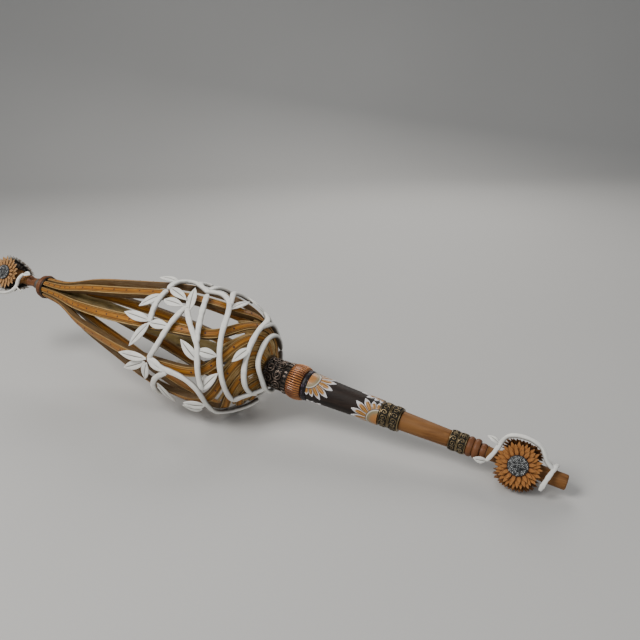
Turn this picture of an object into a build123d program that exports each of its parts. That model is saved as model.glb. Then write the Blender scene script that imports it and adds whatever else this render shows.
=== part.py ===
from build123d import *
from math import asin, atan, cos, degrees, exp, pi, radians, sin, tan
import os

# Ornamental parasol staff: a bored and turned handle, a swirled cage of bent ribs in the
# shape of a closed parasol, a leafy vine wound round the cage, and three flowers at each end.
# Stations run along the staff, in millimetres from the handle's end. Angles run round it,
# in degrees from the side that the first flower of each end faces.

# ---- driving dimensions: the staff ----
staff_length = 758.0
shaft_radius = 5.0
shaft_inset = 8.0
bore_clearance = 0.1
joint_gap = 0.2

# ---- the cage of ribs ----
collar_station = 317.5
neck_station = 648.0
belly_station = 402.0
belly_radius = 64.5
shoulder_radius = 58.0
collar_end_radius = 18.6
neck_end_radius = 13.2
rib_count = 9
rib_width = 12.0
rib_neck_width = 5.6
rib_collar_width = 6.8
rib_depth = 7.5
rib_neck_depth = 4.0
edging_share = 0.13
edging_gap = 0.45
edging_drop = 0.8
lean_angle = 30.0
swirl_angle = 92.0
swirl_length = 26.0
first_rib_angle = 12.0

# ---- the turned handle, from its end towards the cage ----
peg_radius = 7.3
peg_chamfer = 1.2
hub_radius = 9.0
hub_length = 28.0
peg_waist_radius = 6.2
peg_length = 75.0
small_ring_radius = 7.6
small_ring_length = 6.4
bead_radius = 9.8
bead_length = 6.4
lower_band_radius = 10.4
lower_band_length = 8.4
grip_butt_radius = 8.5
grip_radius = 9.9
grip_length = 51.0
upper_band_radius = 12.8
upper_band_length = 10.9
sleeve_butt_radius = 12.2
sleeve_radius = 14.8
sleeve_length = 81.0
speckled_ring_radius = 16.4
speckled_ring_length = 6.2
fluted_ring_radius = 19.3
fluted_ring_edge_radius = 17.2
fluted_ring_length = 16.8
flute_count = 44
flute_depth = 0.7
toothed_ring_radius = 17.6
toothed_ring_length = 5.4
tooth_count = 22
tooth_depth = 1.4
tooth_land = 0.15
collar_radius = 14.6
scroll_radius = 5.2
scroll_wire_radius = 1.25
scroll_count = 6

# ---- the neck at the other end of the cage ----
neck_washer_radius = 14.4
neck_washer_gap = 0.7
neck_washer_length = 1.8
neck_ring_radius = 15.2
neck_ring_length = 10.0
tip_bead_radius = 8.2
tip_bead_length = 8.0
post_bead_radius = 10.6
post_neck_radius = 6.6

# ---- the flowers ----
flower_inset = 44.0
flower_count = 3
flower_radius = 22.0
flower_back = 13.0
petal_count = 18
petal_width = 7.0
petal_layer = 2.0
inner_petal_radius = 18.0
seed_radius = 9.8
seed_height = 2.6
calyx_radius = 8.0
calyx_foot_radius = 4.6
spigot_radius = 1.8
spigot_length = 3.2

# ---- the vine ----
stem_radius = 3.1
stem_lift = 4.2
leaf_thickness = 2.0
leaf_width = 9.0
leaf_lift = 5.2
vine_turn = 5.0
sprig_stem_radius = 2.6
sprig_leaf_width = 6.4

# ---- relief flowers on the sleeve ----
relief_height = 0.8
relief_radius = 29.0
relief_disc_radius = 12.5
relief_petals = 10
relief_petal_width = 5.6
relief_count = 2
top_relief_turn = 38.0
butt_relief_turn = -42.0

# The staff lies on the cage's belly and on the flower that faces the ground.
belly_reach = belly_radius + stem_lift + stem_radius
flower_reach = flower_back + 2 * petal_layer + seed_height
rest_tilt = degrees(asin((belly_reach - flower_reach) / (belly_station - flower_inset)))
face_tilt = 90.0 - 360.0 / flower_count / 2

toward_tip = Vector(-cos(radians(rest_tilt)), 0, sin(radians(rest_tilt)))
upright = Vector(sin(radians(rest_tilt)), 0, cos(radians(rest_tilt)))
face_direction = Vector(0, -1, 0) * cos(radians(face_tilt)) + upright * sin(radians(face_tilt))
staff = Plane(origin=(0, 0, 0), x_dir=face_direction, z_dir=toward_tip)
staff_axis = Axis(staff.origin, staff.z_dir)
# A lathe profile: x is the radius and y the station.
lathe = Plane(origin=(0, 0, 0), x_dir=staff.x_dir, z_dir=staff.x_dir.cross(staff.z_dir))

bore_radius = shaft_radius + bore_clearance
pieces = {}


def at(station, angle, radius):
    """The point at a station, an angle round the staff and a radius from its axis."""
    turn = radians(angle)
    return staff.from_local_coords((radius * cos(turn), radius * sin(turn), station))


def outward(angle):
    """The direction straight out from the staff at an angle."""
    turn = radians(angle)
    return staff.x_dir * cos(turn) + staff.y_dir * sin(turn)


def keep(name, part):
    """Names a finished piece and holds it for writing."""
    part.label = name
    pieces[name] = part


# ---- turned pieces ----
def turned(name, start, length, shape, bore=bore_radius):
    """A bored piece with a straight, round, cove or tapered side, as (style, r at start, r at end)."""
    style, first, last = shape
    end = start + length
    middle = start + length / 2
    with BuildPart() as piece:
        with BuildSketch(lathe):
            with BuildLine():
                if style == "round":
                    crown = max(first, last) + min(length / 4, 1.8)
                    ThreePointArc((first, start), (crown, middle), (last, end))
                elif style == "cove":
                    waist = min(first, last) - min(length / 6, 1.2)
                    ThreePointArc((first, start), (waist, middle), (last, end))
                else:
                    Line((first, start), (last, end))
                Polyline((last, end), (bore, end), (bore, start), (first, start))
            make_face()
        revolve(axis=staff_axis)
    keep(name, piece.part)


def star(radius, depth, count):
    """The points of a toothed outline: tips on the radius, roots at the depth."""
    step = 2 * pi / count
    points = []
    for tooth in range(count):
        points.append((radius * cos(tooth * step), radius * sin(tooth * step)))
        root = radius - depth
        points.append((root * cos((tooth + 0.5) * step), root * sin((tooth + 0.5) * step)))
    return points


def fluted(name, start, length, edge, crown, depth, count):
    """A bored, barrel-shaped ring whose outside is cut into teeth or flutes."""
    end = start + length
    middle = start + length / 2
    with BuildPart() as piece:
        with BuildSketch(staff.offset(start)):
            Polygon(*star(crown + tooth_land, depth + tooth_land, count), align=None)
            Circle(bore_radius, mode=Mode.SUBTRACT)
        extrude(amount=length)
        with BuildSketch(lathe):
            with BuildLine():
                ThreePointArc((edge, start), (crown, middle), (edge, end))
                Polyline((edge, end), (0, end), (0, start), (edge, start))
            make_face()
        revolve(axis=staff_axis, mode=Mode.INTERSECT)
    keep(name, piece.part)


# The shaft runs through everything and ends inside both pegs.
with BuildPart() as core_shaft:
    with BuildSketch(staff.offset(shaft_inset)):
        Circle(shaft_radius)
    extrude(amount=staff_length - 2 * shaft_inset)
    chamfer(core_shaft.edges().filter_by(GeomType.CIRCLE), 0.8)
keep("core_shaft", core_shaft.part)


def flower_angles():
    """The directions that the flowers of one end face."""
    return [360.0 / flower_count * index for index in range(flower_count)]


def end_peg(name, end, way):
    """A peg with a flower hub and a waist; way is 1 at the handle's end and -1 at the tip."""
    hub_start = flower_inset - hub_length / 2
    hub_end = flower_inset + hub_length / 2
    blind = shaft_inset - joint_gap

    def spot(radius, reach):
        return (radius, end + way * reach)

    with BuildPart() as peg:
        with BuildSketch(lathe):
            with BuildLine():
                Polyline(
                    spot(0, 0),
                    spot(peg_radius - peg_chamfer, 0),
                    spot(peg_radius, peg_chamfer),
                    spot(peg_radius, hub_start - 2),
                    spot(hub_radius, hub_start),
                    spot(hub_radius, hub_end),
                    spot(peg_waist_radius, hub_end + 6),
                    spot(peg_waist_radius, peg_length - 2),
                    spot(peg_waist_radius + 0.8, peg_length - joint_gap),
                    spot(bore_radius, peg_length - joint_gap),
                    spot(bore_radius, blind),
                    spot(0, blind),
                    close=True,
                )
            make_face()
        revolve(axis=staff_axis)
        for angle in flower_angles():
            seat = Plane(at(end + way * flower_inset, angle, hub_radius + 1), z_dir=outward(angle))
            with BuildSketch(seat):
                Circle(spigot_radius + bore_clearance)
            extrude(amount=-(spigot_length + 2), mode=Mode.SUBTRACT)
    keep(name, peg.part)


end_peg("butt_peg", 0.0, 1)
end_peg("tip_peg", staff_length, -1)

station = peg_length
turned("small_ring", station, small_ring_length - joint_gap, ("round", 6.6, 6.6))
station += small_ring_length
for index in (1, 2):
    turned(f"handle_bead_{index}", station, bead_length - joint_gap, ("round", 8.4, 8.4))
    station += bead_length
for index in (1, 2):
    fluted(
        f"lower_band_{index}", station, lower_band_length - joint_gap,
        lower_band_radius - 1.2, lower_band_radius, 0.5, 26,
    )
    station += lower_band_length
turned("grip", station, grip_length - joint_gap, ("straight", grip_butt_radius, grip_radius))
station += grip_length
for index in (1, 2):
    fluted(
        f"upper_band_{index}", station, upper_band_length - joint_gap,
        upper_band_radius - 1.4, upper_band_radius, 0.6, 30,
    )
    station += upper_band_length
sleeve_start = station
turned(
    "sleeve", station, sleeve_length - joint_gap, ("straight", sleeve_butt_radius, sleeve_radius)
)
station += sleeve_length
turned("speckled_ring", station, speckled_ring_length - joint_gap, ("round", 15.2, 15.2))
station += speckled_ring_length
fluted(
    "fluted_ring", station, fluted_ring_length - joint_gap,
    fluted_ring_edge_radius, fluted_ring_radius, flute_depth, flute_count,
)
station += fluted_ring_length
fluted(
    "toothed_ring", station, toothed_ring_length - joint_gap,
    toothed_ring_radius - 0.6, toothed_ring_radius, tooth_depth, tooth_count,
)
station += toothed_ring_length
collar_length = collar_station - joint_gap - station
turned("collar", station, collar_length, ("cove", collar_radius, collar_radius))

# Scrolls stand on the collar's face, side by side round it.
scroll_station = station + collar_length / 2
with BuildPart() as collar_scrolls:
    for index in range(scroll_count):
        angle = 360.0 / scroll_count * index
        centre = at(scroll_station, angle, collar_radius + scroll_wire_radius + joint_gap)
        with Locations(Plane(centre, x_dir=staff.z_dir, z_dir=outward(angle))):
            Torus(scroll_radius, scroll_wire_radius)
keep("collar_scrolls", collar_scrolls.part)

# ---- relief flowers on the sleeve ----
def sleeve_radius_at(place):
    """The sleeve's outer radius at a station."""
    share = (place - sleeve_start) / sleeve_length
    return sleeve_butt_radius + share * (sleeve_radius - sleeve_butt_radius)


def relief_flower(place, way, angle):
    """Half a flower that grows from one end of the sleeve, as a skin on its surface."""
    under = joint_gap / 4
    far = place + way * (relief_radius + joint_gap)
    petal_reach = (relief_radius - relief_disc_radius / 2) / 2
    with BuildPart() as skin:
        with BuildSketch(lathe):
            with BuildLine():
                Polyline(
                    (sleeve_radius_at(place) + under, place),
                    (sleeve_radius_at(place) + relief_height, place),
                    (sleeve_radius_at(far) + relief_height, far),
                    (sleeve_radius_at(far) + under, far),
                    close=True,
                )
            make_face()
        revolve(axis=staff_axis)
        cut_plane = Plane(staff.from_local_coords((0, 0, place)), x_dir=staff.z_dir * way,
                          z_dir=outward(angle))
        with BuildSketch(cut_plane):
            Circle(relief_disc_radius)
            for index in range(relief_petals):
                turn = -90.0 + 180.0 / (relief_petals - 1) * index
                with Locations(Location((0, 0, 0), (0, 0, turn))):
                    with Locations((relief_radius - petal_reach, 0)):
                        Ellipse(petal_reach, relief_petal_width / 2)
        extrude(amount=sleeve_radius * 2, mode=Mode.INTERSECT)
    return skin.part


reliefs = []
for index in range(relief_count):
    turn = 360.0 / relief_count * index
    sleeve_top = sleeve_start + sleeve_length - joint_gap
    reliefs.append(relief_flower(sleeve_top, -1, turn + top_relief_turn))
    reliefs.append(relief_flower(sleeve_start, 1, turn + butt_relief_turn))
keep("sleeve_flowers", Compound(reliefs))

# ---- the neck ----
turned(
    "neck_washer", neck_station + neck_washer_gap, neck_washer_length - joint_gap,
    ("straight", neck_washer_radius, neck_washer_radius),
)
neck_ring_start = neck_station + neck_washer_gap + neck_washer_length
turned("neck_ring", neck_ring_start, neck_ring_length - joint_gap, ("round", 13.6, 11.4))
tip_bead_start = neck_ring_start + neck_ring_length
turned("tip_bead", tip_bead_start, tip_bead_length - joint_gap, ("round", 7.0, 7.0))
spacer_start = tip_bead_start + tip_bead_length
spacer_length = staff_length - peg_length - spacer_start
turned("tip_spacer", spacer_start, spacer_length, ("cove", 6.6, 6.6))

# ---- the centre post inside the cage ----
post_start = collar_station + joint_gap
post_end = neck_station - joint_gap
post_span = post_end - post_start
post_outline = [
    (8.0, 0.0), (8.0, 0.05), (10.2, 0.08), (8.4, 0.12), (8.4, 0.3), (post_bead_radius, 0.33),
    (post_bead_radius, 0.36), (8.6, 0.4), (9.6, 0.55), (10.4, 0.72), (8.2, 0.78), (8.2, 0.86),
    (post_neck_radius, 0.94), (post_neck_radius, 1.0),
]
with BuildPart() as centre_post:
    with BuildSketch(lathe):
        with BuildLine():
            Polyline(
                (bore_radius, post_start),
                *[(radius, post_start + share * post_span) for radius, share in post_outline],
                (bore_radius, post_end),
                close=True,
            )
        make_face()
    revolve(axis=staff_axis)
keep("centre_post", centre_post.part)

# ---- the cage ----
# The outside of the ribs, as radius against station, from the neck to the collar.
with BuildLine() as cage_line:
    cage_profile = Spline(
        (neck_end_radius, neck_station),
        (belly_radius * 0.26, 618),
        (belly_radius * 0.46, 582),
        (belly_radius * 0.63, 543),
        (belly_radius * 0.82, 489),
        (belly_radius * 0.95, 447),
        (belly_radius, belly_station),
        (belly_radius * 0.985, 377),
        (shoulder_radius, 358),
        (shoulder_radius * 0.86, 343),
        (shoulder_radius * 0.71, 332),
        (shoulder_radius * 0.52, 323),
        (collar_end_radius, collar_station),
    )


def cage_spot(share):
    """Radius and station on the cage at a share of its length from the neck."""
    point = cage_profile @ share
    return point.X, point.Y


def cage_radius(place):
    """The cage's outer radius at a station, found by halving."""
    low, high = 0.0, 1.0
    for _ in range(30):
        middle = (low + high) / 2
        if cage_spot(middle)[1] > place:
            low = middle
        else:
            high = middle
    return cage_spot(low)[0]


def swirl(place):
    """How far a rib has turned at a station: a slow lean, and a fast swirl near the collar."""
    lean = lean_angle * (neck_station - place) / (neck_station - belly_station)
    return lean + swirl_angle * exp(-(((place - collar_station) / swirl_length) ** 2)) - lean_angle


def blend_size(share, neck, belly, collar):
    """A size that grows from the neck to the belly and shrinks towards the collar."""
    if share < 0.6:
        rise = sin(pi / 2 * min(share / 0.4, 1.0))
        return neck + (belly - neck) * rise
    fall = sin(pi / 2 * (1.0 - share) / 0.4)
    return collar + (belly - collar) * fall


# Shares of the cage's length where a rib is drawn: close together where it swirls.
swirl_share = 0.8
long_stops = [swirl_share * stop / 13 for stop in range(13)]
swirl_stops = [swirl_share + (1 - swirl_share) * stop / 12 for stop in range(13)]
rib_shares = long_stops + swirl_stops


def rib_section(index, share):
    """The plane across a rib at a share of its length, its width and its depth."""
    step = 0.002
    start = 360.0 / rib_count * index + first_rib_angle

    def spot(place_share, inset):
        radius, place = cage_spot(min(max(place_share, 0.0), 1.0))
        return at(place, start + swirl(place), radius - inset)

    depth = blend_size(share, rib_neck_depth, rib_depth, rib_depth * 0.8)
    width = blend_size(share, rib_neck_width, rib_width, rib_collar_width)
    ahead = spot(share + step, 0) - spot(share - step, 0)
    radius, place = cage_spot(share)
    after = cage_spot(min(share + step, 1.0))
    before = cage_spot(max(share - step, 0.0))
    slope = atan((after[0] - before[0]) / (before[1] - after[1] + 1e-9))
    angle = start + swirl(place)
    normal = outward(angle) * cos(slope) + staff.z_dir * sin(slope)
    across = ahead.cross(normal).normalized()
    face_normal = across.cross(ahead).normalized()
    centre = at(place, angle, radius) - face_normal * (depth / 2)
    return Plane(centre, x_dir=across, z_dir=ahead.normalized()), width, depth


def rib_strip(index, side):
    """One strip of a rib: side 0 is the core, and -1 and 1 are its edgings."""
    with BuildPart() as strip:
        for share in rib_shares:
            plane, width, depth = rib_section(index, share)
            edging = width * edging_share
            gap = edging_gap if width > rib_collar_width else edging_gap * 0.6
            core = width - 2 * (edging + gap)
            with BuildSketch(plane):
                if side == 0:
                    Rectangle(core, depth)
                else:
                    with Locations((side * (width - edging) / 2, 0)):
                        Rectangle(edging, depth - edging_drop)
        loft()
    return strip.part


for index in range(rib_count):
    keep(f"rib_{index + 1}", rib_strip(index, 0))
with BuildPart() as rib_edgings:
    for index in range(rib_count):
        add(rib_strip(index, -1))
        add(rib_strip(index, 1))
keep("rib_edgings", rib_edgings.part)

# ---- the flowers ----
def petal_ring(plane, radius, turn):
    """One layer of long petals round a flower, sketched on its plane and extruded."""
    with BuildSketch(plane) as layer:
        Circle(radius * 0.55)
        for index in range(petal_count):
            with Locations(Location((0, 0, 0), (0, 0, turn + 360.0 / petal_count * index))):
                with Locations((radius * 0.68, 0)):
                    Ellipse(radius * 0.32, petal_width / 2 * radius / flower_radius)
    extrude(layer.sketch, amount=petal_layer)


def flower(place, angle):
    """The petals, the seed head and the calyx of one flower."""
    def seat(height):
        return Plane(at(place, angle, height), x_dir=staff.z_dir, z_dir=outward(angle))

    with BuildPart() as petals:
        petal_ring(seat(flower_back), flower_radius, 0)
        petal_ring(seat(flower_back + petal_layer), inner_petal_radius, 180.0 / petal_count)
    seed_start = flower_back + 2 * petal_layer
    with BuildPart() as seeds:
        with BuildSketch(seat(seed_start + joint_gap)):
            Circle(seed_radius)
        extrude(amount=seed_height - joint_gap)
        fillet(seeds.faces().sort_by(Axis(staff.origin, outward(angle)))[-1].edges(), 1.2)
    with BuildPart() as calyx:
        with BuildSketch(seat(hub_radius + joint_gap)):
            Circle(calyx_foot_radius)
        with BuildSketch(seat(flower_back - joint_gap)):
            Circle(calyx_radius)
        loft()
        with BuildSketch(seat(hub_radius + joint_gap)):
            Circle(spigot_radius)
        extrude(amount=-spigot_length)
    return petals.part, seeds.part, calyx.part


for end_name, place in (("butt", flower_inset), ("tip", staff_length - flower_inset)):
    seed_heads = []
    calyxes = []
    for index, angle in enumerate(flower_angles()):
        petals, seeds, calyx = flower(place, angle)
        keep(f"{end_name}_flower_{index + 1}", petals)
        seed_heads.append(seeds)
        calyxes.append(calyx)
    keep(f"{end_name}_seed_heads", Compound(seed_heads))
    keep(f"{end_name}_calyxes", Compound(calyxes))


# ---- the vine ----
def stem_path(points):
    """Straight runs joined by the largest arcs that their lengths allow."""
    radii = []
    for before, corner, after in zip(points, points[1:], points[2:]):
        run = min((corner - before).length, (after - corner).length)
        half_turn = radians((corner - before).get_angle(after - corner)) / 2
        radii.append(0.45 * run / tan(half_turn))
    return FilletPolyline(*points, radius=radii)


def stem(points, radius):
    """A round stem along a line of points, added to the vine that is being built."""
    with BuildLine():
        path = stem_path(points) if len(points) > 2 else Line(*points)
    with BuildSketch(Plane(path @ 0, z_dir=path % 0)) as section:
        Circle(radius)
    sweep(section.sketch, path=path)
    return path


def leaf(paths, stalk, tip, out, width):
    """A flat leaf with a pointed oval outline, from the nearest place on a stem to its tip."""
    places = [path.distance_to_with_closest_points(Vertex(*stalk)) for path in paths]
    base = min(places, key=lambda place: place[0])[1]
    along = tip - base
    side = out.cross(along).normalized()
    face = along.cross(side).normalized()
    length = along.length
    plane = Plane(base - face * (leaf_thickness / 2), x_dir=along, z_dir=face)
    with BuildSketch(plane) as outline:
        with BuildLine():
            ThreePointArc((0, 0), (length * 0.5, width / 2), (length, 0))
            ThreePointArc((length, 0), (length * 0.5, -width / 2), (0, 0))
        make_face()
    extrude(outline.sketch, amount=leaf_thickness)


def on_cage(place, angle, lift):
    """A point over the ribs."""
    return at(place, angle, cage_radius(place) + lift)


def cage_vine(stems, leaves, turn=vine_turn):
    """A vine that lies on the cage, from (station, angle) routes and (base, tip) leaves."""
    with BuildPart() as vine:
        paths = []
        for route in stems:
            points = [on_cage(place, angle + turn, stem_lift) for place, angle in route]
            paths.append(stem(points, stem_radius))
        for base, tip in leaves:
            leaf(
                paths,
                on_cage(base[0], base[1] + turn, stem_lift),
                on_cage(tip[0], tip[1] + turn, leaf_lift),
                outward((base[1] + tip[1]) / 2 + turn),
                leaf_width,
            )
    return vine.part


vines = {
    "vine_crown_branch": (
        [
            [(403, 56), (420, 64), (440, 70), (447, 58), (444, 42)],
            [(418, 63), (427, 76), (420, 86)],
        ],
        [((449, 62), (485, 74)), ((444, 45), (411, 34))],
    ),
    "vine_left_branch": (
        [[(444, 40), (443, 22), (438, 3)]],
        [
            ((445, 33), (462, 14)), ((439, 4), (478, 4)), ((438, 2), (457, -26)),
            ((438, 2), (410, 5)), ((437, 28), (409, 27)),
        ],
    ),
    "vine_middle_branch": (
        [
            [(406, 28), (412, 8), (418, -12), (427, -29)],
            [(404, 26), (386, 10), (373, -2), (366, -22), (360, -43)],
            [(398, 50), (386, 28), (374, 0)],
        ],
        [((400, 24), (418, 54)), ((368, -15), (392, -2)), ((371, -6), (350, -5))],
    ),
    "vine_low_branch": (
        [
            [(428, -30), (402, -33), (380, -35), (366, -44), (360, -62), (359, -84), (362, -102)],
            [(402, -36), (416, -45), (427, -62), (430, -84)],
            [(360, -82), (352, -97), (343, -104), (334, -110), (326, -120)],
        ],
        [
            ((431, -31), (475, -40)), ((433, -35), (474, -62)), ((430, -35), (436, -56)),
            ((418, -54), (408, -84)), ((370, -79), (398, -84)), ((362, -68), (388, -69)),
        ],
    ),
    "vine_belly_hoop": (
        [
            [(405, 54), (385, 59), (368, 48), (357, 22), (348, -8), (341, -34), (335, -64)],
            [(368, 49), (376, 63), (384, 80), (380, 90), (370, 96)],
        ],
        [((364, 46), (362, 76)), ((361, -43), (346, -22))],
    ),
    "vine_shoulder_hoop": (
        [
            [(352, 98), (341, 88), (334, 64), (330, 28), (327, -8), (324, -44), (320, -80)],
            [(333, 60), (334, 80), (336, 102), (331, 118)],
        ],
        [((352, 98), (372, 90)), ((329, 20), (337, -6))],
    ),
    "vine_back_branch": (
        [
            [(360, -106), (352, -132), (362, -158), (386, -168), (412, -172), (438, -160)],
            [(388, -170), (372, 172), (362, 150), (370, 126), (392, 110), (404, 92), (403, 60)],
            [(352, -136), (337, -150), (331, -176), (337, 158), (347, 128), (352, 101)],
        ],
        [
            ((438, -160), (470, -152)), ((412, -172), (424, -140)), ((414, 176), (438, 160)),
            ((362, 150), (386, 140)), ((392, 110), (420, 104)), ((362, -158), (384, -140)),
            ((337, 158), (352, 178)),
        ],
    ),
}
for name, (stems, leaves) in vines.items():
    keep(name, cage_vine(stems, leaves))

# The innermost hoop leans: it stands on the ribs at the top and hangs round the collar below.
collar_hoop_route = [
    (324, 136, 36.5), (325, 104, 38.5), (324, 76, 37.0), (323, 58, 35.5), (321.5, 40, 33.5),
    (320, 22, 31.5), (317.5, 8, 31.0), (314.5, -8, 27.0), (312, -30, 22.6), (310.5, -62, 21.2),
    (310.5, -98, 21.2), (313, -135, 24.5), (318, -168, 30.0), (322, 166, 34.0), (324, 138, 36.4),
]
collar_link_route = [(335, -59, 48.2), (330, -57, 44.0), (322, -60, 34.0), (312, -64, 22.5)]
with BuildPart() as collar_hoop:
    for route in (collar_hoop_route, collar_link_route):
        stem([at(place, angle, radius) for place, angle, radius in route], stem_radius)
keep("vine_collar_hoop", collar_hoop.part)


def end_sprig(name, end, way):
    """A sprig that winds over the peg and between the flowers; the far end's is turned about."""
    def spot(reach, angle, radius):
        return at(end + way * reach, way * angle, radius)

    with BuildPart() as sprig:
        over = stem(
            [
                spot(72, -29, 12.6), spot(68, 10, 12.2), spot(65, 52, 15.0), spot(60, 60, 25.5),
                spot(51, 60, 29.8), spot(38, 60, 29.8), spot(28, 58, 25.0), spot(22, 48, 17.0),
                spot(15, 40, 11.8),
            ],
            sprig_stem_radius,
        )
        under = stem(
            [
                spot(20, -50, 18.5), spot(18, -22, 14.0), spot(15, 25, 11.8),
                spot(13, 65, 11.8), spot(12, 105, 11.6),
            ],
            sprig_stem_radius,
        )
        leaf([over], spot(72, -29, 12.6), spot(84, -34, 14.5), outward(-30 * way), sprig_leaf_width)
        leaf([over], spot(65, 52, 15.0), spot(78, 58, 19.0), outward(55 * way), sprig_leaf_width)
        leaf([under], spot(14, 55, 12.0), spot(26, 70, 12.4), outward(62 * way), sprig_leaf_width)
    keep(name, sprig.part)


end_sprig("butt_sprig", 0.0, 1)
end_sprig("tip_sprig", staff_length, -1)

# ---- rest the staff on the ground, centred over the origin, and write every piece ----
box = Compound([piece for piece in pieces.values()]).bounding_box()
settle = Location((-box.center().X, -box.center().Y, -box.min.Z))
os.makedirs("parts", exist_ok=True)
for name, piece in pieces.items():
    placed = piece.moved(settle)
    placed.label = name
    export_step(placed, f"parts/{name}.step")
print(len(pieces), "pieces, tilt", round(rest_tilt, 2), "shift", settle.position)
print("box", box.size)
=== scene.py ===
import math
import bpy
import numpy as np
from mathutils import Matrix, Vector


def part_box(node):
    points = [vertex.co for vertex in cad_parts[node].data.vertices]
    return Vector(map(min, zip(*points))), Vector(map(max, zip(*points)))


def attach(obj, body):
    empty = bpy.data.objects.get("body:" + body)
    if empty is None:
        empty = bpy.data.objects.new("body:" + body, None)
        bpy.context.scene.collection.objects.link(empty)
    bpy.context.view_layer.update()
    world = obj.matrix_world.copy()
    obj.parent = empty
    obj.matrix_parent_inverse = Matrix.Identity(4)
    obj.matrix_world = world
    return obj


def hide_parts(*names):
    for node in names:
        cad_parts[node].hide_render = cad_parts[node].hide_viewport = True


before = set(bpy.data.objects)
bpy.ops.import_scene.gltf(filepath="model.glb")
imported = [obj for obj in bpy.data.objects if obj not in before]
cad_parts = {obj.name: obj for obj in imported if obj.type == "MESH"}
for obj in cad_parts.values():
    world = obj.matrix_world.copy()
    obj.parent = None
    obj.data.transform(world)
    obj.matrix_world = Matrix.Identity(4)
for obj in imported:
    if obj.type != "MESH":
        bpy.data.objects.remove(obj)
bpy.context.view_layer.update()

mm = 0.001
randomDraws = np.random.default_rng(7)

# the staff's own frame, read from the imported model; its sizes are in millimetres and degrees
staff = {
    "washerStation": 649.5,     # middle of the neck washer
    "length": 758.0,
    "collarStation": 317.5,
    "neckStation": 648.0,
    "boreRadius": 5.2,
    "vineTurn": 5.0,
}


def unit(vectors):
    # a vector divided by its own length
    return vectors / np.maximum(np.linalg.norm(vectors, axis=-1, keepdims=True), 1e-12)


def middle(node):
    # halfway between the two corners of a CAD node's box
    low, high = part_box(node)
    return (np.array(low) + np.array(high)) / 2


axisDir = unit(middle("neck_washer") - middle("fluted_ring"))
zeroPoint = middle("neck_washer") - axisDir * staff["washerStation"] * mm
faceDir = middle("butt_flower_1") - zeroPoint
faceDir = unit(faceDir - axisDir * (faceDir @ axisDir))
sideDir = np.cross(axisDir, faceDir)


def place(station, angle, radius):
    # the point on the axis at the station, plus radius times (face x cosine + side x sine)
    station, angle, radius = np.broadcast_arrays(station, angle, radius)
    turn = np.radians(angle)
    out = np.cos(turn)[..., None] * faceDir + np.sin(turn)[..., None] * sideDir
    return zeroPoint + mm * (station[..., None] * axisDir + radius[..., None] * out)


def outward(angle):
    # straight out from the axis: face x cosine + side x sine
    turn = np.radians(np.asarray(angle, float))
    return np.cos(turn)[..., None] * faceDir + np.sin(turn)[..., None] * sideDir


# surfaces as whole arrays

def smooth(points, count):
    # natural cubic spline: the second derivatives solve the continuity equations over the chords
    points = np.asarray(points, float)
    steps = np.linalg.norm(np.diff(points, axis=0), axis=1)
    knots = np.concatenate([[0.0], np.cumsum(steps)])
    size = len(points)
    matrix = np.eye(size)
    bends = np.zeros_like(points)
    inner = np.arange(1, size - 1)
    matrix[inner, inner - 1] = steps[:-1]
    matrix[inner, inner] = 2 * (steps[:-1] + steps[1:])
    matrix[inner, inner + 1] = steps[1:]
    bends[1:-1] = 6 * np.diff(np.diff(points, axis=0) / steps[:, None], axis=0)
    bends = np.linalg.solve(matrix, bends)
    along = np.linspace(0, knots[-1], count)
    cell = np.clip(np.searchsorted(knots, along, side="right") - 1, 0, size - 2)
    width = steps[cell][:, None]
    a = (knots[cell + 1] - along)[:, None] / width
    b = 1 - a
    cubic = (a ** 3 - a) * bends[cell] + (b ** 3 - b) * bends[cell + 1]
    return a * points[cell] + b * points[cell + 1] + cubic * width ** 2 / 6


def gridFaces(rows, columns, closed):
    # each face joins a grid point to its neighbours in the next row and the next column
    row = np.arange(rows - 1)[:, None] * columns
    column = np.arange(columns if closed else columns - 1)[None, :]
    after = (column + 1) % columns
    return np.stack([row + column, row + after, row + columns + after, row + columns + column],
                    -1).reshape(-1, 4)


def closedTube(rings, marks=None):
    # rings of points joined side to side, each end closed by a fan to the middle of its ring
    rows, columns = rings.shape[:2]
    points = np.concatenate([rings.reshape(-1, 3), [rings[0].mean(0), rings[-1].mean(0)]])
    here = np.arange(columns)
    after = (here + 1) % columns
    first, last = rows * columns, rows * columns + 1
    end = (rows - 1) * columns
    fans = np.concatenate([
        np.stack([np.full(columns, first), after, here], -1),
        np.stack([np.full(columns, last), end + here, end + after], -1),
    ])
    shell = {"points": points, "quads": gridFaces(rows, columns, True), "fans": fans}
    if marks is not None:
        shell["marks"] = np.concatenate([marks.reshape(-1, 3), [marks[0].mean(0), marks[-1].mean(0)]])
    return outwards(shell)


def outwards(shell):
    # the volume is a sixth of the sum of each triangle's triple product; a negative one is turned over
    points, quads = shell["points"] - shell["points"].mean(0), shell["quads"]
    corners = np.concatenate([quads[:, [0, 1, 2]], quads[:, [0, 2, 3]], shell["fans"]])
    a, b, c = (points[corners[:, k]] for k in range(3))
    if np.einsum("ij,ij->i", a, np.cross(b, c)).sum() < 0:
        shell["quads"] = quads[:, ::-1]
        shell["fans"] = shell["fans"][:, ::-1]
    return shell


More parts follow.
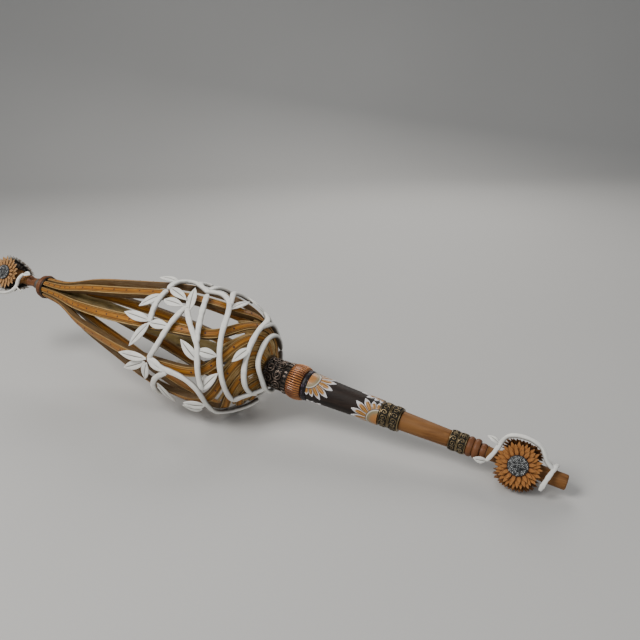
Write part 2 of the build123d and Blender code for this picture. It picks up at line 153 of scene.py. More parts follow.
def makePiece(name, shells, finish, replaced=(), sharp=40):
    # one object from many closed shells, each shell's faces shifted by the points before it
    starts = np.cumsum([0] + [len(shell["points"]) for shell in shells[:-1]])
    points = np.concatenate([shell["points"] for shell in shells])
    quads = np.concatenate([shell["quads"] + start for shell, start in zip(shells, starts)])
    fans = np.concatenate([shell["fans"] + start for shell, start in zip(shells, starts)])
    mesh = bpy.data.meshes.new(name)
    mesh.from_pydata(points, [], quads.tolist() + fans.tolist())
    if "marks" in shells[0]:
        layer = mesh.attributes.new("marks", "FLOAT_VECTOR", "POINT")
        marks = np.concatenate([shell["marks"] for shell in shells])
        layer.data.foreach_set("vector", marks.astype(np.float32).ravel())
    mesh.polygons.foreach_set("use_smooth", np.ones(len(mesh.polygons), bool))
    mesh.set_sharp_from_angle(angle=math.radians(sharp))
    mesh.materials.append(finish)
    mesh.update()
    piece = bpy.data.objects.new(name, mesh)
    bpy.context.scene.collection.objects.link(piece)
    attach(piece, "root")
    if replaced:
        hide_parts(*replaced)
    return piece


# shader maths

class Wire:
    # a shader socket that does arithmetic: each operator adds one Math node
    def __init__(self, tree, socket=None):
        self.tree = tree
        self.socket = socket

    def node(self, kind, settings=None, values=None, output=0):
        made = self.tree.nodes.new(kind)
        for key, value in (settings or {}).items():
            if key == "stops":
                self.setStops(made.color_ramp, value)
            else:
                setattr(made, key, value)
        for key, value in (values or {}).items():
            if isinstance(value, Wire):
                self.tree.links.new(value.socket, made.inputs[key])
            else:
                made.inputs[key].default_value = value
        return Wire(self.tree, made.outputs[output])

    def setStops(self, ramp, stops):
        while len(ramp.elements) < len(stops):
            ramp.elements.new(0.5)
        for element, (position, colour) in zip(ramp.elements, stops):
            element.position = position
            element.color = colour

    def maths(self, operation, other=0.0, swapped=False, clamped=False):
        pair = {0: other, 1: self} if swapped else {0: self, 1: other}
        return self.node("ShaderNodeMath", {"operation": operation, "use_clamp": clamped}, pair)

    def __add__(self, other):
        return self.maths("ADD", other)

    def __sub__(self, other):
        return self.maths("SUBTRACT", other)

    def __rsub__(self, other):
        return self.maths("SUBTRACT", other, True)

    def __mul__(self, other):
        return self.maths("MULTIPLY", other)

    __radd__ = __add__
    __rmul__ = __mul__

    def clamp(self):
        return self.maths("ADD", 0.0, clamped=True)

    def sine(self):
        return self.maths("SINE")

    def size(self):
        return self.maths("ABSOLUTE")

    def step(self, low, high):
        # 0 below low, 1 above high and a smooth ramp between them
        return self.node("ShaderNodeMapRange", {"interpolation_type": "SMOOTHSTEP"},
                         {0: self, 1: low, 2: high, 3: 0.0, 4: 1.0})

    def mix(self, first, second):
        # the first colour where this is 0 and the second where it is 1
        return self.node("ShaderNodeMix", {"data_type": "RGBA"}, {0: self, 6: first, 7: second}, 2)

    def ramp(self, *stops):
        return self.node("ShaderNodeValToRGB", {"stops": stops}, {0: self})

    def part(self, axis):
        # one number of a vector
        return self.node("ShaderNodeSeparateXYZ", {}, {0: self}, axis)

    def noise(self, scale, detail=4.0, rough=0.5, warp=0.0):
        values = {"Vector": self, "Scale": scale, "Detail": detail, "Roughness": rough,
                  "Distortion": warp}
        return self.node("ShaderNodeTexNoise", {}, values)

    def stretched(self, scale, turn=(0.0, 0.0, 0.0)):
        return self.node("ShaderNodeMapping", {}, {0: self, 2: turn, 3: scale})


def paint(red, green, blue):
    return (red, green, blue, 1.0)


def makeFinish(name, recipe, constants=None):
    # a Principled material: the recipe gives what varies, and constants go on the sockets themselves
    finish = bpy.data.materials.new(name)
    finish.use_nodes = True
    tree = finish.node_tree
    shader = next(n for n in tree.nodes if n.type == "BSDF_PRINCIPLED")
    start = Wire(tree)
    solid = start.node("ShaderNodeTexCoord", {}, {}, "Object")
    marks = start.node("ShaderNodeAttribute", {"attribute_name": "marks"}, {}, "Vector")
    varied = recipe(solid, marks)
    height = varied.pop("Height", None)
    if height is not None:
        depth = varied.pop("Depth", 0.0004)
        varied["Normal"] = start.node("ShaderNodeBump", {}, {"Strength": 1.0, "Distance": depth,
                                                             "Height": height})
    for key, value in varied.items():
        tree.links.new(value.socket, shader.inputs[key])
    for key, value in (constants or {}).items():
        shader.inputs[key].default_value = value
    return finish


leanY = math.atan2(axisDir[2], -axisDir[0])


def alongGrain(solid, stretch=0.08):
    # coordinates squeezed along the staff, so that a noise turns into grain
    return solid.stretched((stretch, 1.0, 1.0), (0.0, -leanY, 0.0))


def woodRecipe(dark, mid, pale, grainScale, roughLow=0.46, depth=0.00025, stretch=0.06):
    # grain: stretched noise through a colour ramp, plus fine pores that also lift the surface
    def recipe(solid, marks):
        coords = alongGrain(solid, stretch)
        grain = coords.noise(grainScale, 6.0, 0.6, 0.8)
        pores = coords.noise(grainScale * 5, 3.0, 0.7)
        blotch = solid.noise(28.0, 2.0)
        tone = (grain * 0.75 + pores * 0.25).ramp((0.3, dark), (0.5, mid), (0.68, pale))
        colour = blotch.step(0.35, 0.75).mix(tone, (grain * 0.5 + 0.25).mix(mid, pale))
        return {"Base Color": colour, "Roughness": pores * 0.25 + roughLow,
                "Height": grain * 0.6 + pores * 0.4, "Depth": depth}
    return recipe


def antiqueRecipe(deep, metal, bright, wear=0.5, scale=900.0):
    # marks x is the relief's height: dark in the hollows, rubbed bright on the high places
    def recipe(solid, marks):
        relief = marks.part(0)
        dirt = solid.noise(scale, 5.0, 0.65)
        patch = solid.noise(90.0, 3.0)
        level = (relief + (dirt - 0.5) * 0.5).clamp()
        colour = level.ramp((0.15, deep), (0.5, metal), (0.92, bright))
        return {"Base Color": patch.step(0.3, 0.8).mix(colour, level.mix(deep, metal)),
                "Roughness": 0.62 - level * 0.3, "Metallic": level * wear + 0.35,
                "Height": dirt, "Depth": 0.00015}
    return recipe


def clayRecipe(base, shade, shadeAndGrooveColour, blushTone=(0.62, 0.52, 0.46, 1.0)):
    # hand-smoothed clay: faint finger marks, and dark where marks x is near 0: painted shade on the
    # undersides of the vine strands, dark leaf veins and dark calyx grooves
    def recipe(solid, marks):
        swirl = solid.noise(75.0, 3.0, 0.5, 1.2)
        fine = solid.noise(650.0, 4.0, 0.6)
        blush = solid.noise(38.0, 2.0).step(0.52, 0.8) * 0.3
        # painted shade: the vine strands darken towards their undersides; the same mask darkens the leaf
        # veins and the calyx grooves
        shadeAndGrooveMask = 1.0 - (marks.part(0) + (swirl - 0.5) * 0.3).step(0.08, 0.85)
        tone = blush.mix(swirl.step(0.3, 0.75).mix(base, shade), blushTone)
        return {"Base Color": (shadeAndGrooveMask * 0.95).mix(tone, shadeAndGrooveColour), "Roughness": fine * 0.25 + 0.46,
                "Height": swirl * 0.7 + fine * 0.3, "Depth": 0.0006}
    return recipe


# the cage

cage = {
    "profile": [            # radius and station of the ribs' outside, neck to collar
        (13.2, 648.0), (16.77, 618.0), (29.67, 582.0), (40.64, 543.0), (52.89, 489.0),
        (61.28, 447.0), (64.5, 402.0), (63.53, 377.0), (58.0, 358.0), (49.88, 343.0),
        (41.18, 332.0), (30.16, 323.0), (18.6, 317.5),
    ],
    "ribCount": 9,
    "firstRib": 12.0,
    "width": (5.6, 12.0, 6.8),          # at the neck, belly and collar
    "depth": (4.0, 7.5, 6.0),
    "lean": 30.0,
    "leanEnd": 402.0,
    "swirl": 92.0,
    "swirlLength": 26.0,
    "edgingShare": 0.13,
    "edgingGap": 0.45,
    "edgingDrop": 0.8,
}

cageCurve = smooth(cage["profile"], 2001)
cageShare = np.concatenate([[0.0], np.cumsum(np.linalg.norm(np.diff(cageCurve, axis=0), axis=1))])
cageShare /= cageShare[-1]


def cageSpot(share):
    # radius and station at a share of the profile's length
    return (np.interp(share, cageShare, cageCurve[:, 0]),
            np.interp(share, cageShare, cageCurve[:, 1]))


def cageRadius(station):
    # the profile's radius at a station
    return np.interp(station, cageCurve[::-1, 1], cageCurve[::-1, 0])


def swirlAt(station):
    # a straight lean along the cage plus a bell-shaped swirl centred on the collar
    lean = cage["lean"] * ((staff["neckStation"] - station)
                           / (staff["neckStation"] - cage["leanEnd"]) - 1)
    bell = np.exp(-((station - staff["collarStation"]) / cage["swirlLength"]) ** 2)
    return lean + cage["swirl"] * bell


def swell(share, sizes):
    # a quarter sine up from the neck to the belly, and a quarter sine down to the collar
    neck, belly, collar = sizes
    rise = np.sin(np.pi / 2 * np.minimum(share / 0.4, 1))
    fall = np.sin(np.pi / 2 * np.minimum((1 - share) / 0.4, 1))
    return np.where(share < 0.6, neck + (belly - neck) * rise, collar + (belly - collar) * fall)


def ribFrame(index, share):
    # along: the path's own direction; across: along x surface normal; up: across x along
    angle = 360.0 / cage["ribCount"] * index + cage["firstRib"]
    radius, station = cageSpot(share)
    path = place(station, angle + swirlAt(station), radius)
    along = unit(np.gradient(path, axis=0))
    slope = np.arctan2(np.gradient(radius), -np.gradient(station))
    normal = outward(angle + swirlAt(station)) * np.cos(slope)[:, None]
    normal = normal + axisDir * np.sin(slope)[:, None]
    across = unit(np.cross(along, normal))
    up = unit(np.cross(across, along))
    return path, along, across, up


def roundedBox(halfWidth, halfDepth, corner, steps=4):
    # a rectangle whose corners are quarter circles
    turns = np.radians(np.concatenate([np.linspace(start, start + 90, steps) for start in (0, 90, 180, 270)]))
    signX = np.repeat([1, -1, -1, 1], steps)
    signY = np.repeat([1, 1, -1, -1], steps)
    x = signX * (halfWidth - corner)[:, None] + corner[:, None] * np.cos(turns)
    y = signY * (halfDepth - corner)[:, None] + corner[:, None] * np.sin(turns)
    return x, y


def ribStrip(index, side):
    # a rounded box carried along the rib's path; side 0 is the core, -1 and 1 the edge strips
    share = np.concatenate([np.linspace(0, 0.78, 90, endpoint=False), np.linspace(0.78, 1, 90)])
    path, along, across, up = ribFrame(index, share)
    width, depth = swell(share, cage["width"]), swell(share, cage["depth"])
    edge = width * cage["edgingShare"]
    gap = np.where(width > cage["width"][2], cage["edgingGap"], cage["edgingGap"] * 0.6)
    if side == 0:
        halfWidth, halfDepth, shift = width / 2 - edge - gap, depth / 2, 0 * width
        corner = np.minimum(0.7, halfWidth / 3)
    else:
        halfWidth, halfDepth = edge / 2, (depth - cage["edgingDrop"]) / 2
        shift = side * (width - edge) / 2
        corner = halfWidth * 0.6
    x, y = roundedBox(halfWidth, halfDepth, corner)
    centre = path - up * (depth / 2)[:, None] * mm
    rings = (centre[:, None] + across[:, None] * ((x + shift[:, None]) * mm)[..., None]
             + up[:, None] * (y * mm)[..., None])
    length = np.concatenate([[0], np.cumsum(np.linalg.norm(np.diff(path, axis=0), axis=1))])
    marks = np.stack([np.broadcast_to(length[:, None] / mm, x.shape), x / halfWidth[:, None],
                      y / halfDepth[:, None] + index * 10], -1)
    return closedTube(rings, marks)


ribColours = {
    "dark": paint(0.028, 0.009, 0.002),
    "amber": paint(0.20, 0.068, 0.006),
    "honey": paint(0.38, 0.155, 0.014),
    "pale": paint(0.54, 0.27, 0.032),
    "tan": paint(0.34, 0.19, 0.055),
    "cream": paint(0.60, 0.45, 0.22),
}


def ribRecipe(solid, marks):
    # long grain from noise stretched along the strip, and dark saw lines at set shares of the width
    across, layer = marks.part(1).size(), marks.part(2)
    grain = marks.stretched((0.012, 1.2, 1.0)).noise(2.2, 6.0, 0.65, 0.6)
    fibre = marks.stretched((0.03, 6.0, 3.0)).noise(2.0, 4.0, 0.7)
    tone = (grain * 0.7 + fibre * 0.3).ramp((0.28, ribColours["dark"]), (0.40, ribColours["amber"]),
                                            (0.55, ribColours["honey"]), (0.72, ribColours["pale"]))
    sides = (across - 0.97).step(0.0, 0.03)
    glueLines = ((layer * 11.0).sine() - 0.55).step(0.0, 0.3)
    sawLine = (across - 0.66).size().step(0.09, 0.03)
    rim = across.step(0.74, 0.84) * (1.0 - sides)
    lines = (sides * (glueLines * 0.5 + 0.15) + sawLine * (grain * 0.7 + 0.55)).clamp()
    face = (rim * 0.45).mix(tone, ribColours["tan"])
    return {"Base Color": lines.mix(face, ribColours["dark"]), "Roughness": fibre * 0.3 + 0.36,
            "Height": grain * 0.4 + fibre * 0.3 - lines * 0.8, "Depth": 0.0005}


def edgingRecipe(solid, marks):
    # pale strips with fine dark fibres along them and dark sides
    fibre = marks.stretched((0.03, 3.0, 2.0)).noise(2.4, 5.0, 0.7)
    tone = fibre.ramp((0.3, ribColours["amber"]), (0.46, ribColours["tan"]), (0.66, ribColours["cream"]))
    sides = (marks.part(1).size() - 0.85).step(0.0, 0.1)
    return {"Base Color": (sides * 0.8).mix(tone, ribColours["dark"]), "Roughness": fibre * 0.3 + 0.42,
            "Height": fibre, "Depth": 0.0003}


ribWood = makeFinish("ribWood", ribRecipe, {"Specular IOR Level": 0.28})
edgeWood = makeFinish("edgeWood", edgingRecipe, {"Specular IOR Level": 0.25})
for ribIndex in range(cage["ribCount"]):
    makePiece(f"rib{ribIndex + 1}Wood", [ribStrip(ribIndex, 0)], ribWood, [f"rib_{ribIndex + 1}"],
              50)
makePiece("ribEdges", [ribStrip(i, side) for i in range(cage["ribCount"]) for side in (-1, 1)],
          edgeWood, ["rib_edgings"], 50)
print("ribs bent")

ribPins = {"nearSpacing": 9.5, "farSpacing": 27.0, "growLength": 230.0, "firstPin": 8.0, "endRoom": 6.0,
           "radius": 1.2, "height": 0.3}


def dome(centre, across, along, up, radius, height, around=12, rows=5):
    # a shallow cap: radius x sine of the row's angle out, height x its cosine up, and a flat underside
    tilt = np.linspace(0.02, np.pi / 2, rows)
    turn = np.linspace(0, 2 * np.pi, around, endpoint=False)
    out = np.concatenate([np.sin(tilt), [1.0]]) * radius
    lift = np.concatenate([np.cos(tilt) * height, [-0.6]])
    rings = (centre + (out[:, None, None] * (np.cos(turn)[:, None] * across + np.sin(turn)[:, None] * along)
                       + lift[:, None, None] * up) * mm)
    return closedTube(rings)


def pinShells():
    # pins stand on the middle of each rib, closer together towards the neck
    shells = []
    for index in range(cage["ribCount"]):
        share = np.linspace(0, 1, 1200)
        path, along, across, up = ribFrame(index, share)
        length = np.concatenate([[0], np.cumsum(np.linalg.norm(np.diff(path, axis=0), axis=1))]) / mm
        spot = ribPins["firstPin"] + randomDraws.uniform(0, 6)
        while spot < length[-1] - ribPins["endRoom"]:
            at = int(np.searchsorted(length, spot))
            shells.append(dome(path[at], across[at], along[at], up[at], ribPins["radius"], ribPins["height"]))
            grow = min(spot / ribPins["growLength"], 1.0)
            gap = ribPins["nearSpacing"] + (ribPins["farSpacing"] - ribPins["nearSpacing"]) * grow
            spot += gap * randomDraws.uniform(0.85, 1.15)
    return shells


def pinRecipe(solid, marks):
    # burnt brown heads, paler in random specks
    speck = solid.noise(1500.0, 3.0)
    return {"Base Color": speck.mix(paint(0.025, 0.006, 0.003), paint(0.07, 0.02, 0.01)),
            "Roughness": speck * 0.3 + 0.4, "Height": speck, "Depth": 0.0001}


makePiece("ribPins", pinShells(), makeFinish("burntPins", pinRecipe), ())
print("pins set")

# the vine

vine = {
    "halfWidth": 2.9,
    "halfHeight": 2.2,
    "lift": 4.2,
    "leafWidth": 10.6,
    "leafThickness": 2.2,
    "leafLift": 5.4,
    "veinDepth": 0.6,
    "leafTurn": 0.7,        # how far the leaves turn up towards the light
    "leafAim": 12.0,
}


def strand(path, out, halfWidth, halfHeight, around=20):
    # a flattened bar along a path: a squared-off oval in the plane of across and up
    along = unit(np.gradient(path, axis=0))
    across = unit(np.cross(along, out))
    up = np.cross(across, along)
    turn = np.linspace(0, 2 * np.pi, around, endpoint=False)
    x = np.sign(np.cos(turn)) * np.abs(np.cos(turn)) ** 0.6
    y = np.sign(np.sin(turn)) * np.abs(np.sin(turn)) ** 0.6
    rows = len(path)
    travel = np.linspace(0, 1, rows)
    hand = 1 + 0.07 * np.sin(travel * 23 + path[0, 0] * 900) + 0.05 * np.sin(travel * 51 + path[0, 2] * 700)
    taper = np.clip(np.minimum(travel, 1 - travel) * rows / 5, 0, 1) ** 0.5 * 0.35 + 0.65
    wide = (halfWidth * hand * taper)[:, None] * x
    high = (halfHeight * taper)[:, None] * y
    rings = path[:, None] + (across[:, None] * wide[..., None] + up[:, None] * high[..., None]) * mm
    # marks x falls from the strand's top to its underside, where the clay finish paints shade
    level = np.broadcast_to(np.clip(0.55 + 0.5 * y, 0.12, 1.0), wide.shape)
    marks = np.stack([level, np.broadcast_to(travel[:, None], wide.shape),
                      np.broadcast_to(x, wide.shape)], -1)
    return closedTube(rings, marks)


def vineLeaf(base, tip, out, width, thickness, bend=1.2, rows=26, around=28):
    # half width = sine of a slightly front-loaded length; the veins are grooves cut by narrow bells
    travel = np.linspace(0, 1, rows)
    line = tip - base
    along = unit(line)
    across = unit(np.cross(along, out))
    up = np.cross(across, along)
    turn = np.linspace(0, 2 * np.pi, around, endpoint=False)
    x, top = np.cos(turn), np.sin(turn)
    half = width / 2 * np.maximum(np.sin(np.pi * travel ** 0.86), 0) ** 0.82
    half = np.maximum(half, 0.35 + 0.9 * (1 - travel) ** 6)
    wide = half[:, None] * x
    bow = bend * np.sin(np.pi * travel)[:, None]
    full = (0.35 + 0.65 * np.sin(np.pi * travel) ** 0.5)[:, None]
    body = thickness / 2 * (np.sign(top) * np.abs(top) ** 0.6) * full
    cup = 0.10 * wide ** 2 / max(width, 1)
    vein = np.exp(-(x / 0.10) ** 2)
    sides = np.exp(-((np.abs(x) - 0.42 - 0.12 * np.sin(travel[:, None] * 3)) / 0.06) ** 2) * 0.8
    fade = np.clip(np.minimum(travel * 8, (1 - travel) * 5), 0, 1)[:, None]
    cut = np.clip(vein + sides, 0, 1) * (top > 0) * fade
    high = body + bow + cup - vine["veinDepth"] * cut
    spine = (base + travel[:, None] * line)[:, None]
    rings = spine + (across * wide[..., None] + up * high[..., None]) * mm
    marks = np.stack([1 - 0.9 * cut, np.broadcast_to(travel[:, None], wide.shape),
                      np.broadcast_to(x, wide.shape)], -1)
    return closedTube(rings, marks)


def onCage(route, count=60):
    # the route is smoothed as station against arc length round the cage, then lifted onto the ribs
    stations, angles = np.array(route, float).T
    angles = np.degrees(np.unwrap(np.radians(angles))) + staff["vineTurn"]
    flat = smooth(np.stack([stations, np.radians(angles) * 50], 1), count)
    station, angle = flat[:, 0], np.degrees(flat[:, 1] / 50)
    return place(station, angle, cageRadius(station) + vine["lift"]), outward(angle)


def cageLeaf(base, tip, width=None):
    # from a foot on the cage to a tip a little higher, facing the way the cage faces there
    first = np.array([base, tip], float)
    first[:, 1] = np.degrees(np.unwrap(np.radians(first[:, 1]))) + staff["vineTurn"]
    foot = place(first[0, 0], first[0, 1], cageRadius(first[0, 0]) + vine["lift"])
    end = place(first[1, 0], first[1, 1], cageRadius(first[1, 0]) + vine["leafLift"])
    out = outward(first[:, 1].mean())
    aim = outward(vine["leafAim"])
    out = unit(out + vine["leafTurn"] * aim * max(out @ aim + 0.3, 0) ** 0.5)
    return vineLeaf(foot, end, out, width or vine["leafWidth"], vine["leafThickness"])


vineRoutes = {          # stems as lists of (station, angle), and leaves as (foot, tip)
    "vine_crown_branch": (
        [[(403, 56), (420, 64), (440, 70), (447, 58), (444, 42)], [(418, 63), (427, 76), (420, 86)]],
        [((449, 62), (485, 74)), ((444, 45), (411, 34))],
    ),
    "vine_left_branch": (
        [[(444, 40), (443, 22), (438, 3)]],
        [((445, 33), (462, 14)), ((439, 4), (478, 4)), ((438, 2), (457, -26)),
         ((438, 2), (410, 5)), ((437, 28), (409, 27))],
    ),
    "vine_middle_branch": (
        [[(406, 28), (412, 8), (418, -12), (427, -29)],
         [(404, 26), (386, 10), (373, -2), (366, -22), (360, -43)],
         [(398, 50), (386, 28), (374, 0)]],
        [((400, 24), (418, 54)), ((368, -15), (392, -2)), ((371, -6), (350, -5))],
    ),
    "vine_low_branch": (
        [[(428, -30), (402, -33), (380, -35), (366, -44), (360, -62), (359, -84), (362, -102)],
         [(402, -36), (416, -45), (427, -62), (430, -84)],
         [(360, -82), (352, -97), (343, -104), (334, -110), (326, -120)]],
        [((431, -31), (475, -40)), ((433, -35), (474, -62)), ((430, -35), (436, -56)),
         ((418, -54), (408, -84)), ((370, -79), (398, -84)), ((362, -68), (388, -69)),
         ((429, -29), (403, -35))],
    ),
    "vine_belly_hoop": (
        [[(405, 54), (385, 59), (368, 48), (357, 22), (348, -8), (341, -34), (335, -64)],
         [(368, 49), (376, 63), (384, 80), (380, 90), (370, 96)]],
        [((364, 46), (362, 76)), ((361, -43), (346, -22))],
    ),
    "vine_shoulder_hoop": (
        [[(352, 98), (341, 88), (334, 64), (330, 28), (327, -8), (324, -44), (320, -80)],
         [(333, 60), (334, 80), (336, 102), (331, 118)]],
        [((352, 98), (372, 90)), ((329, 20), (337, -6))],
    ),
    "vine_back_branch": (
        [[(360, -106), (352, -132), (362, -158), (386, -168), (412, -172), (438, -160)],
         [(388, -170), (372, 172), (362, 150), (370, 126), (392, 110), (404, 92), (403, 60)],
         [(352, -136), (337, -150), (331, -176), (337, 158), (347, 128), (352, 101)]],
        [((438, -160), (470, -152)), ((412, -172), (424, -140)), ((414, 176), (438, 160)),
         ((362, 150), (386, 140)), ((392, 110), (420, 104)), ((362, -158), (384, -140)),
         ((337, 158), (352, 178))],
    ),
}
collarHoop = [          # station, angle and radius
    (324, 136, 36.5), (325, 104, 38.5), (324, 76, 37.0), (323, 58, 35.5), (321.5, 40, 33.5),
    (320, 22, 31.5), (317.5, 8, 31.0), (314.5, -8, 27.0), (312, -30, 22.6), (310.5, -62, 21.2),
    (310.5, -98, 21.2), (313, -135, 24.5), (318, -168, 30.0), (322, -194, 34.0), (324, -222, 36.4),
]
collarLink = [(335, -59, 48.2), (330, -57, 44.0), (322, -60, 34.0), (312, -64, 22.5)]

# the third colour is painted shade on the strands' undersides and the colour of the leaf veins
clay = makeFinish("vineClay", clayRecipe(paint(0.84, 0.83, 0.77), paint(0.72, 0.71, 0.67),
                                         paint(0.06, 0.048, 0.036)))
for node, (stems, leaves) in vineRoutes.items():
    shells = []
    for route in stems:
        path, out = onCage(route, 24 * len(route))
        shells.append(strand(path, out, vine["halfWidth"], vine["halfHeight"]))
    for foot, tip in leaves:
        shells.append(cageLeaf(foot, tip))
    makePiece(node.replace("_", "") + "Clay", shells, clay, [node], 60)


def routeInSpace(route, count):
    # the points are placed first, then smoothed in space; up is straight away from the axis
    points = np.array(route, float)
    path = smooth(place(points[:, 0], points[:, 1], points[:, 2]), count)
    fromAxis = path - zeroPoint
    fromAxis = fromAxis - (fromAxis @ axisDir)[:, None] * axisDir
    return path, unit(fromAxis)


hoopShells = []
for route in (collarHoop, collarLink):
    path, out = routeInSpace(route, 14 * len(route))
    hoopShells.append(strand(path, out, vine["halfWidth"] * 0.92, vine["halfHeight"]))
makePiece("vineCollarHoopClay", hoopShells, clay, ["vine_collar_hoop"], 60)

sprigRoutes = {         # reach from the staff's end, angle and radius
    "over": [(72, -29, 12.6), (68, 10, 12.2), (65, 52, 15.0), (60, 60, 25.5), (51, 60, 29.8),
             (38, 60, 29.8), (28, 58, 25.0), (22, 48, 17.0), (15, 40, 11.8)],
    "under": [(20, -50, 18.5), (18, -22, 14.0), (15, 25, 11.8), (13, 65, 11.8), (12, 105, 11.6)],
    "leaves": [((72, -29, 12.6), (84, -34, 14.5)), ((65, 52, 15.0), (78, 58, 19.0)),
               ((14, 55, 12.0), (26, 70, 12.4))],
    "halfWidth": 2.1,
    "leafWidth": 7.6,
}
for node, end, way in (("butt_sprig", 0.0, 1), ("tip_sprig", staff["length"], -1)):
    shells = []
    for key in ("over", "under"):
        route = [(end + way * reach, way * angle, radius) for reach, angle, radius in sprigRoutes[key]]
        path, out = routeInSpace(route, 12 * len(route))
        shells.append(strand(path, out, sprigRoutes["halfWidth"], vine["halfHeight"] * 0.8))
    for foot, tip in sprigRoutes["leaves"]:
        foot, tip = ((end + way * spot[0], way * spot[1], spot[2]) for spot in (foot, tip))
        shells.append(vineLeaf(place(*foot), place(*tip), outward((foot[1] + tip[1]) / 2),
                               sprigRoutes["leafWidth"], vine["leafThickness"] * 0.8))
    makePiece(node.replace("_", "") + "Clay", shells, clay, [node], 60)
print("vine wound")

# the flowers

bloom = {
    "inset": 44.0,
    "count": 3,
    "layers": [         # seat height, inner and outer radius, petal count, width, curl up
        (13.4, 7.5, 22.0, 19, 5.0, 0.9),
        (14.6, 7.0, 20.4, 19, 4.6, 0.9),
        (15.8, 6.5, 16.6, 16, 4.0, 0.9),
    ],
    "thickness": 1.1,
    "seedRadius": 9.6,
    "seedBase": 17.1,
    "seedCrown": 1.7,
    "beads": 130,
    "bead": 0.80,
    "calyxSeat": 8.4,
    "calyxFoot": 4.6,
    "calyxRim": 9.5,
}


def petal(centre, out, turn, seat, inner, outer, width, curl, rows=12, around=12):
    # narrow at the foot, widest past half way, then narrowing towards the tip
    spoke = np.cos(turn) * axisDir + np.sin(turn) * np.cross(out, axisDir)
    across = np.cross(out, spoke)
    travel = np.linspace(0, 1, rows)
    ring = np.linspace(0, 2 * np.pi, around, endpoint=False)
    x, top = np.cos(ring), np.sin(ring)
    half = width / 2 * (0.45 + 0.55 * np.sin(np.pi * np.minimum(travel * 0.75, 1)))
    half = half * (1 - np.clip((travel - 0.58) / 0.44, 0, 1) ** 1.7)
    wide = half[:, None] * x
    reach = inner + (outer - inner) * travel
    body = bloom["thickness"] / 2 * top * (1 - 0.45 * travel)[:, None]
    crease = -0.35 * np.exp(-(x / 0.3) ** 2) * (1 - 0.3 * travel)[:, None]
    lift = seat + (curl * travel ** 2)[:, None] + body + crease
    rings = (centre + (spoke * reach[:, None, None] + across * wide[..., None]
                       + out * lift[..., None]) * mm)
    marks = np.stack([np.broadcast_to(x, wide.shape), np.broadcast_to(travel[:, None], wide.shape),
                      np.broadcast_to(top, wide.shape)], -1)
    return closedTube(rings, marks)


def petalRecipe(deep, mid, pale, tipColour, shadedBackFoot, backTip):
    # streaks run along each petal; the edges are deep and the tip is pale; the foot is deep too, painted
    # shade under the seed head, and the back darkens towards its foot, painted shade as well
    def recipe(solid, marks):
        across, travel = marks.part(0), marks.part(1)
        back = 1.0 - marks.part(2).step(-0.3, 0.1)
        streak = marks.stretched((9.0, 1.4, 0.5)).noise(2.0, 4.0, 0.65)
        speck = solid.noise(1200.0, 3.0)
        tone = (streak * 0.8 + speck * 0.2).ramp((0.3, deep), (0.5, mid), (0.7, pale))
        edge = across.size().step(0.62, 1.0)
        # painted shade: the petal darkens towards its foot, under the seed head
        foot = 1.0 - travel.step(0.15, 0.6)
        tipped = travel.step(0.82, 1.0) * 0.35
        face = tipped.mix((edge * 0.85 + foot * 0.6).clamp().mix(tone, deep), tipColour)
        # painted shade: the back of each petal goes dark towards its foot
        colour = back.mix(face, travel.step(0.45, 0.85).mix(shadedBackFoot, backTip))
        return {"Base Color": colour, "Roughness": streak * 0.3 + 0.45, "Height": streak, "Depth": 0.0003}
    return recipe


def seedShells(centre, out, jitter):
    # bead k sits at radius = R x square root of k / count, turned by the golden angle each time
    number = np.arange(bloom["beads"])
    radius = (bloom["seedRadius"] - 0.8) * np.sqrt((number + 0.5) / bloom["beads"])
    turn = number * np.radians(137.508) + jitter
    side = np.cross(out, axisDir)
    crown = bloom["seedCrown"] * (1 - (radius / bloom["seedRadius"]) ** 2)
    size = bloom["bead"] * (0.7 + 0.35 * radius / bloom["seedRadius"])
    spots = centre + ((radius * np.cos(turn))[:, None] * axisDir + (radius * np.sin(turn))[:, None] * side
                      + (bloom["seedBase"] + crown)[:, None] * out) * mm
    ring = np.linspace(0, 2 * np.pi, 7, endpoint=False)
    tilt = np.linspace(0.15, np.pi * 0.62, 4)
    shells = []
    for spot, bead in zip(spots, size):
        around = np.cos(ring)[:, None] * axisDir + np.sin(ring)[:, None] * side
        rings = spot + bead * mm * (np.sin(tilt)[:, None, None] * around + np.cos(tilt)[:, None, None] * out)
        # marks x: 1 on a bead's top, lower down its sides; the seed finish paints a highlight on the tops and
        # shade on the sides
        marks = np.broadcast_to(np.cos(tilt)[:, None, None] * 0.5 + 0.5, rings.shape)
        shells.append(closedTube(rings, marks))
    rows = np.linspace(0, 1, 10)
    disc = np.concatenate([np.sin(rows * np.pi / 2), [1.0, 0.9]]) * bloom["seedRadius"]
    high = np.concatenate([bloom["seedBase"] - 0.2 + bloom["seedCrown"] * np.cos(rows * np.pi / 2),
                           [bloom["seedBase"] - 0.9, bloom["seedBase"] - 1.2]])
    circle = np.linspace(0, 2 * np.pi, 40, endpoint=False)
    around = np.cos(circle)[:, None] * axisDir + np.sin(circle)[:, None] * side
    rings = centre + (disc[:, None, None] * around + high[:, None, None] * out) * mm
    # the disc under the beads gets marks 0.1, which the seed finish paints nearly black as shade in the gaps
    shells.append(closedTube(rings, np.broadcast_to(np.full((12, 1, 1), 0.1), rings.shape)))
    return shells


